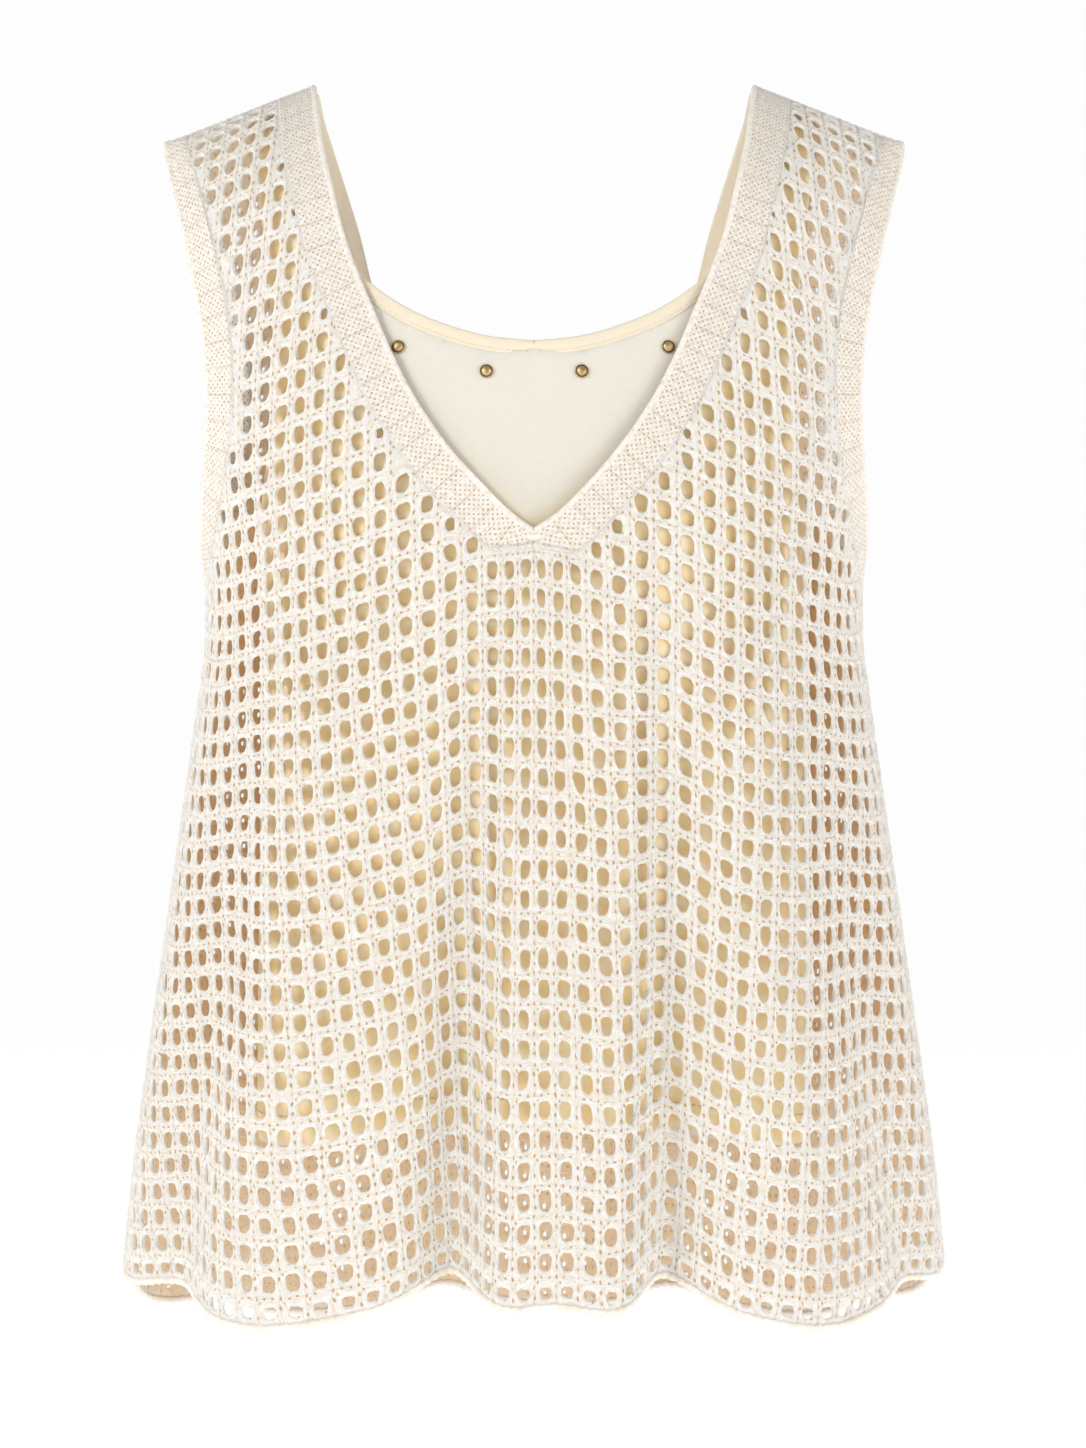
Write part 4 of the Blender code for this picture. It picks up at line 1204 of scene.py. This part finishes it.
linkings = {"front": [], "back": []}
for word, panel in NET_PANELS:
    u, v = seam_line(panel, "neck")
    lines = [("neck_linking_" + word, np.concatenate((-u, u[::-1][1:])),
              np.concatenate((v, v[::-1][1:])))]
    u, v = seam_line(panel, "arm")
    lines.extend(("armhole_linking_" + word + "_" + hand, sign * u, v)
                 for hand, sign in HANDS)
    for name, u, v in lines:
        cord = tube(name, panel.shell, u, v, *LINKING_CORD, "net_knit")
        linkings[word].append(cord.name)

for hand, sign in HANDS:
    levels = np.linspace(net_front_panel.arm_tip, 1.0, 300)
    us = np.full_like(levels, sign * net_front_panel.last_u)
    tube("side_seam_" + hand, knit_front, us, levels, *SIDE_CORD, "net_knit", knit_back)
    inner = float(net_front_panel.neck_edge.at(0.0))
    outer = float(net_front_panel.armhole_edge.at(0.0))
    us = sign * np.linspace(inner, outer, 120)
    tube("shoulder_seam_" + hand, knit_front, us, np.zeros_like(us), *SHOULDER_CORD, "band_knit",
         knit_back)


# ---------------------------------------------------------------- the lining

HEM_FOLD_TOP = 0.972       # the lining's turned hem, as v
HEM_FOLD_END = 0.997
COVER_FADE = 0.020         # from open to the painted knit shade, across the knit's neck edge


def slip(name, panel, node, across, down):
    """The woven lining's front or back."""
    bm = sheet_cells(panel, across, down, LINING_UNDER)
    flat = coordinates(bm)
    u, v = warp(panel, flat[:, 0], flat[:, 1], across, down)
    u, v = panel.neck_seam.tuck(u, v, LINING_UNDER)
    u, v = panel.arm_seam.tuck(u, v, 0.0)
    u, v = panel.tidy(u, v)
    middle = panel.shell.points(u, v)
    normal = panel.shell.normals(u, v)
    hem_fold = smooth((v - HEM_FOLD_TOP) / 0.003) * (1 - smooth((v - HEM_FOLD_END) / 0.003))
    height = LINING_THICKNESS / 2 * (1 + 0.5 * hem_fold)
    bm.verts.index_update()
    flatten_rim(bm, height)
    width = float(panel.shell.width(panel.shell.underarm))
    write_pattern(bm, np.stack((u * width * MM, v * TOTAL_ARC * MM), axis=1))
    wrap(bm, middle, normal, height)
    return finish_piece(name, bm, lining_weave, node)


def mark_painted_knit_shade(piece, panel):
    """How far under the knit each place of the lining lies, as the mask for its painted shade."""
    mesh = piece.data
    places = np.array([vert.co[:] for vert in mesh.vertices])
    painted_knit_shade = np.zeros(len(places))
    z = np.clip(places[:, 2] - ORIGIN_DROP, -0.5, 0.0)
    shell = panel.shell
    share = np.clip(np.abs(places[:, 0]) / shell.ring(1, z), 0.0, 1.0)
    arc = np.arcsin(share) / (math.pi / 2) * shell.width(z)
    for k in range(len(places)):
        curve = panel.neck
        gap = np.hypot(curve[:, 0] - arc[k], curve[:, 1] - z[k]).min()
        inside = arc[k] > np.interp(z[k], curve[::-1, 1], curve[::-1, 0]) or z[k] < curve[-1, 1]
        painted_knit_shade[k] = float(smooth(np.array(0.5 + (gap if inside else -gap) / COVER_FADE)))
    write_attribute(mesh, "painted_knit_shade", painted_knit_shade * np.where(faces_out(mesh), 1.0, INSIDE_SHARE))


LINING_CELLS = (34, 110)   # across one half, and down
lining_front_piece = slip("woven_lining_front", slip_front_panel, "lining_front", *LINING_CELLS)
lining_back_piece = slip("woven_lining_back", slip_back_panel, "lining_back", *LINING_CELLS)
mark_painted_knit_shade(lining_front_piece, net_front_panel)
mark_painted_knit_shade(lining_back_piece, net_back_panel)

BINDING_STOPS = (0.0, 0.15, 0.5, 1.0, 2.0, 3.2, 4.6, 5.0, 5.3, 5.6, 6.0, 6.5, 6.85, 7.0)
BINDING_PROFILE = ((0.0, 0.0), (0.15, 0.45), (0.5, 0.78), (1.0, 0.95), (2.0, 1.00), (4.6, 0.90),
                   (5.3, 0.60), (6.0, 0.85), (6.5, 0.80), (6.85, 0.45), (7.0, 0.40))
for word, panel in (("front", slip_front_panel), ("back", slip_back_panel)):
    node = "lining_binding_" + word
    strip("bias_binding_" + word, panel, "neck", (-1, 1), BINDING_STOPS, BINDING_PROFILE,
          BINDING_STEP, binding_weave, node)


# ---------------------------------------------------------------- studs and stitches

STUD_PROFILE = ((0.0, 0.00185), (0.0008, 0.00180), (0.0015, 0.00160), (0.0020, 0.00125),
                (0.0024, 0.00075), (0.0026, 0.00060), (0.0029, 0.00062), (0.0031, 0.00045),
                (0.0031, 0.0), (0.0, 0.0))
RIM_FROM = 0.0021          # the dark ring in the hollow of a stud's rim
RIM_TO = 0.0027
STUD_SHARP = 35.0


def stud(name, shell, across, height):
    """A domed stud with a thin rim, spun round its own axis."""
    bm = bmesh.new()
    points = [bm.verts.new((radius, 0.0, rise)) for radius, rise in STUD_PROFILE]
    lines = [bm.edges.new(pair) for pair in zip(points, points[1:])]
    bmesh.ops.spin(bm, geom=points + lines, cent=(0, 0, 0), axis=(0, 0, 1),
                   angle=2 * math.pi, steps=32, use_merge=True, dvec=(0, 0, 0))
    bmesh.ops.remove_doubles(bm, verts=bm.verts[:], dist=1e-6)
    bmesh.ops.recalc_face_normals(bm, faces=bm.faces[:])
    rims = [math.hypot(vert.co.x, vert.co.y) for vert in bm.verts]
    sign = math.copysign(1.0, across)
    u, v = shell.locate(shell.arc_at(abs(across), height), height)
    middle = Vector(shell.points(sign * u, v))
    normal = Vector(shell.normals(sign * u, v))
    turn = normal.to_track_quat("Z", "Y").to_matrix()
    stand = middle + normal * (LINING_THICKNESS / 2 + SEAM_GAP)
    bmesh.ops.rotate(bm, verts=bm.verts, cent=(0, 0, 0), matrix=turn)
    bmesh.ops.translate(bm, verts=bm.verts, vec=stand)
    piece = finish_piece(name + "_domed", bm, aged_brass, name, STUD_SHARP)
    write_attribute(piece.data, "rim", [float(RIM_FROM < r < RIM_TO) for r in rims])


for name, across, height in STUDS:
    stud(name, slip_front, across, height)


STITCH_TOP = (0.55, 0.6)   # length and width of a stitch's top, against its base
STITCH_SHARP = 75.0


def stitches(name, lines, size, material):
    """Rows of short raised stitches; each line is its places and their outward normals."""
    pitch, length, radius = size
    bm = bmesh.new()
    for places, normals in lines:
        along = lengths_along(places)
        for k in range(int(along[-1] / pitch)):
            station = (k + 0.5) * pitch
            centre, out, ahead = [
                Vector([float(np.interp(at, along, values[:, axis])) for axis in range(3)])
                for at, values in ((station, places), (station, normals),
                                   (min(station + 0.0005, along[-1]), places))
            ]
            run = (ahead - centre).normalized()
            out = (out - run * out.dot(run)).normalized()
            side = run.cross(out)
            facing = Matrix((run, side, out)).transposed()
            made = bmesh.ops.create_cube(bm, size=1.0)["verts"]
            bmesh.ops.scale(bm, verts=made, vec=(length, 2 * radius, 2 * radius))
            for vert in made:
                if vert.co.z > 0:
                    vert.co.x *= STITCH_TOP[0]
                    vert.co.y *= STITCH_TOP[1]
            bmesh.ops.rotate(bm, verts=made, cent=(0, 0, 0), matrix=facing)
            bmesh.ops.translate(bm, verts=made, vec=centre)
    finish_piece(name, bm, material, smooth_angle=STITCH_SHARP)


def raised(shell, us, levels, lift):
    """Places above a shell, and the normals there."""
    normals = shell.normals(us, levels)
    return shell.points(us, levels) + normals * lift, normals


def line_beside(panel, inset, lift):
    """Lines that follow the neck edge at an inset, over both halves."""
    shell = panel.shell
    edge = Edge(shell, offset(panel.neck, inset))
    lowest = shell.level(0.0, panel.neck[-1, 1] - inset)
    levels = np.linspace(panel.gap_v, lowest, 300)
    us = np.where(levels > lowest - 1e-9, 0.0, edge.at(levels))
    return [raised(shell, sign * us, levels, lift) for sign in (-1, 1)]


def hem_line(shell, level, lift):
    us = np.linspace(-0.99, 0.99, 400)
    return raised(shell, us, np.full_like(us, level), lift)


def shoulder_lines(shell, panel, lift):
    """Lines of stitching a little below the shoulder seams, over the bands and the mesh."""
    level = SHOULDER_STITCH_DROP / TOTAL_ARC
    inner = float(panel.neck_edge.at(level)) + STITCH_MARGIN
    outer = float(panel.armhole_edge.at(level)) - STITCH_MARGIN
    us = np.linspace(inner, outer, 120)
    return [raised(shell, sign * us, np.full_like(us, level), lift) for sign in (-1, 1)]


# pitch, length and radius of each kind of stitch
FINE_STITCH = (0.0028, 0.0021, 0.00022)
SHOULDER_STITCH = (0.0034, 0.0026, 0.00035)
BINDING_STITCH_PLACE = (0.0053, 0.00065)   # in from the edge, and out from the shell
HEM_STITCH_PLACE = (0.974, 0.0009)         # v, and out from the shell
SHOULDER_LIFT = 0.0011

stitches("binding_stitches", line_beside(slip_front_panel, *BINDING_STITCH_PLACE)
         + line_beside(slip_back_panel, *BINDING_STITCH_PLACE),
         FINE_STITCH, thread)
stitches("lining_hem_stitches", [hem_line(slip_front, *HEM_STITCH_PLACE),
                                 hem_line(slip_back, *HEM_STITCH_PLACE)],
         FINE_STITCH, thread)
stitches("shoulder_stitches", shoulder_lines(knit_front, net_front_panel, SHOULDER_LIFT)
         + shoulder_lines(knit_back, net_back_panel, SHOULDER_LIFT),
         SHOULDER_STITCH, edge_yarn)

for name in ("shoulder_tape_left", "shoulder_tape_right"):
    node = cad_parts[name]
    node.data.materials.clear()
    node.data.materials.append(tape_weave)


# ---------------------------------------------------------------- floor, light and camera

FLOOR_HEIGHT = -0.80
FLOOR_RADIUS = 14.0
FLOOR_GLOW = 0.572         # brings the paper to the backdrop's own white
BACKDROP = 0.985           # what the camera sees of the backdrop
BACKDROP_FADE = {"From Min": 0.25, "From Max": 0.60, "To Min": 0.58, "To Max": 0.38}
LIGHTS = (
    # name, place, size, power
    ("key_light", (-2.1, -1.6, 0.9), 0.7, 43.0),
    ("fill_light", (2.1, -1.4, 0.0), 1.2, 25.0),
)
LIGHT_COLOUR = (0.965, 0.985, 1.0)
LIGHTS_AIM = Vector((0.0, 0.0, -0.25))
WHITE = (1.0, 1.0, 1.0, 1.0)
PAPER = ((0.95, 0.95, 0.95, 1.0), (0.97, 0.97, 0.97, 1.0))
SENSOR_HEIGHT = 24.0
LENS = 79.27
CAMERA_PLACE = (0.0041, -2.2, -0.283)


def add_floor():
    bm = bmesh.new()
    bmesh.ops.create_circle(bm, cap_ends=True, segments=64, radius=FLOOR_RADIUS)
    bmesh.ops.translate(bm, verts=bm.verts, vec=(0.0, 0.0, FLOOR_HEIGHT))
    mesh = bpy.data.meshes.new("studio_floor")
    bm.to_mesh(mesh)
    bm.free()
    f = Finish("studio_paper", 0.9)
    f.colour(f.mix(f.noise(f.place(), 0.5), *PAPER))
    f.fill(f.shader, {"Emission Color": WHITE, "Emission Strength": FLOOR_GLOW})
    mesh.materials.append(f.material)
    place_in_scene("studio_floor", mesh)


def add_backdrop():
    """An even backdrop for the camera; for the cloth, light that is weaker from overhead."""
    world = bpy.data.worlds.new("studio")
    world.use_nodes = True
    nodes, links = world.node_tree.nodes, world.node_tree.links
    parts = nodes.new("ShaderNodeSeparateXYZ")
    links.new(nodes.new("ShaderNodeTexCoord").outputs["Generated"], parts.inputs[0])
    overhead = nodes.new("ShaderNodeMapRange")
    for key, value in BACKDROP_FADE.items():
        overhead.inputs[key].default_value = value
    links.new(parts.outputs[2], overhead.inputs["Value"])
    strength = nodes.new("ShaderNodeMix")
    links.new(nodes.new("ShaderNodeLightPath").outputs["Is Camera Ray"], strength.inputs[0])
    links.new(overhead.outputs[0], strength.inputs[2])
    strength.inputs[3].default_value = BACKDROP
    links.new(strength.outputs[0], nodes["Background"].inputs["Strength"])
    nodes["Background"].inputs["Color"].default_value = WHITE
    bpy.context.scene.world = world


def add_lights():
    for name, place, size, power in LIGHTS:
        light = bpy.data.lights.new(name, "AREA")
        light.size = size
        light.energy = power
        light.color = LIGHT_COLOUR
        lamp = place_in_scene(name, light)
        lamp.location = place
        lamp.rotation_euler = (LIGHTS_AIM - Vector(place)).to_track_quat("-Z", "Y").to_euler()


def add_camera():
    camera = bpy.data.cameras.new("front_camera")
    camera.sensor_fit = "VERTICAL"
    camera.sensor_height = SENSOR_HEIGHT
    camera.lens = LENS
    holder = place_in_scene("front_camera", camera)
    holder.location = CAMERA_PLACE
    holder.rotation_euler = (math.pi / 2, 0.0, 0.0)
    scene = bpy.context.scene
    scene.camera = holder
    scene.view_settings.view_transform = "Standard"
    scene.view_settings.look = "None"


add_floor()
add_backdrop()
add_lights()
add_camera()
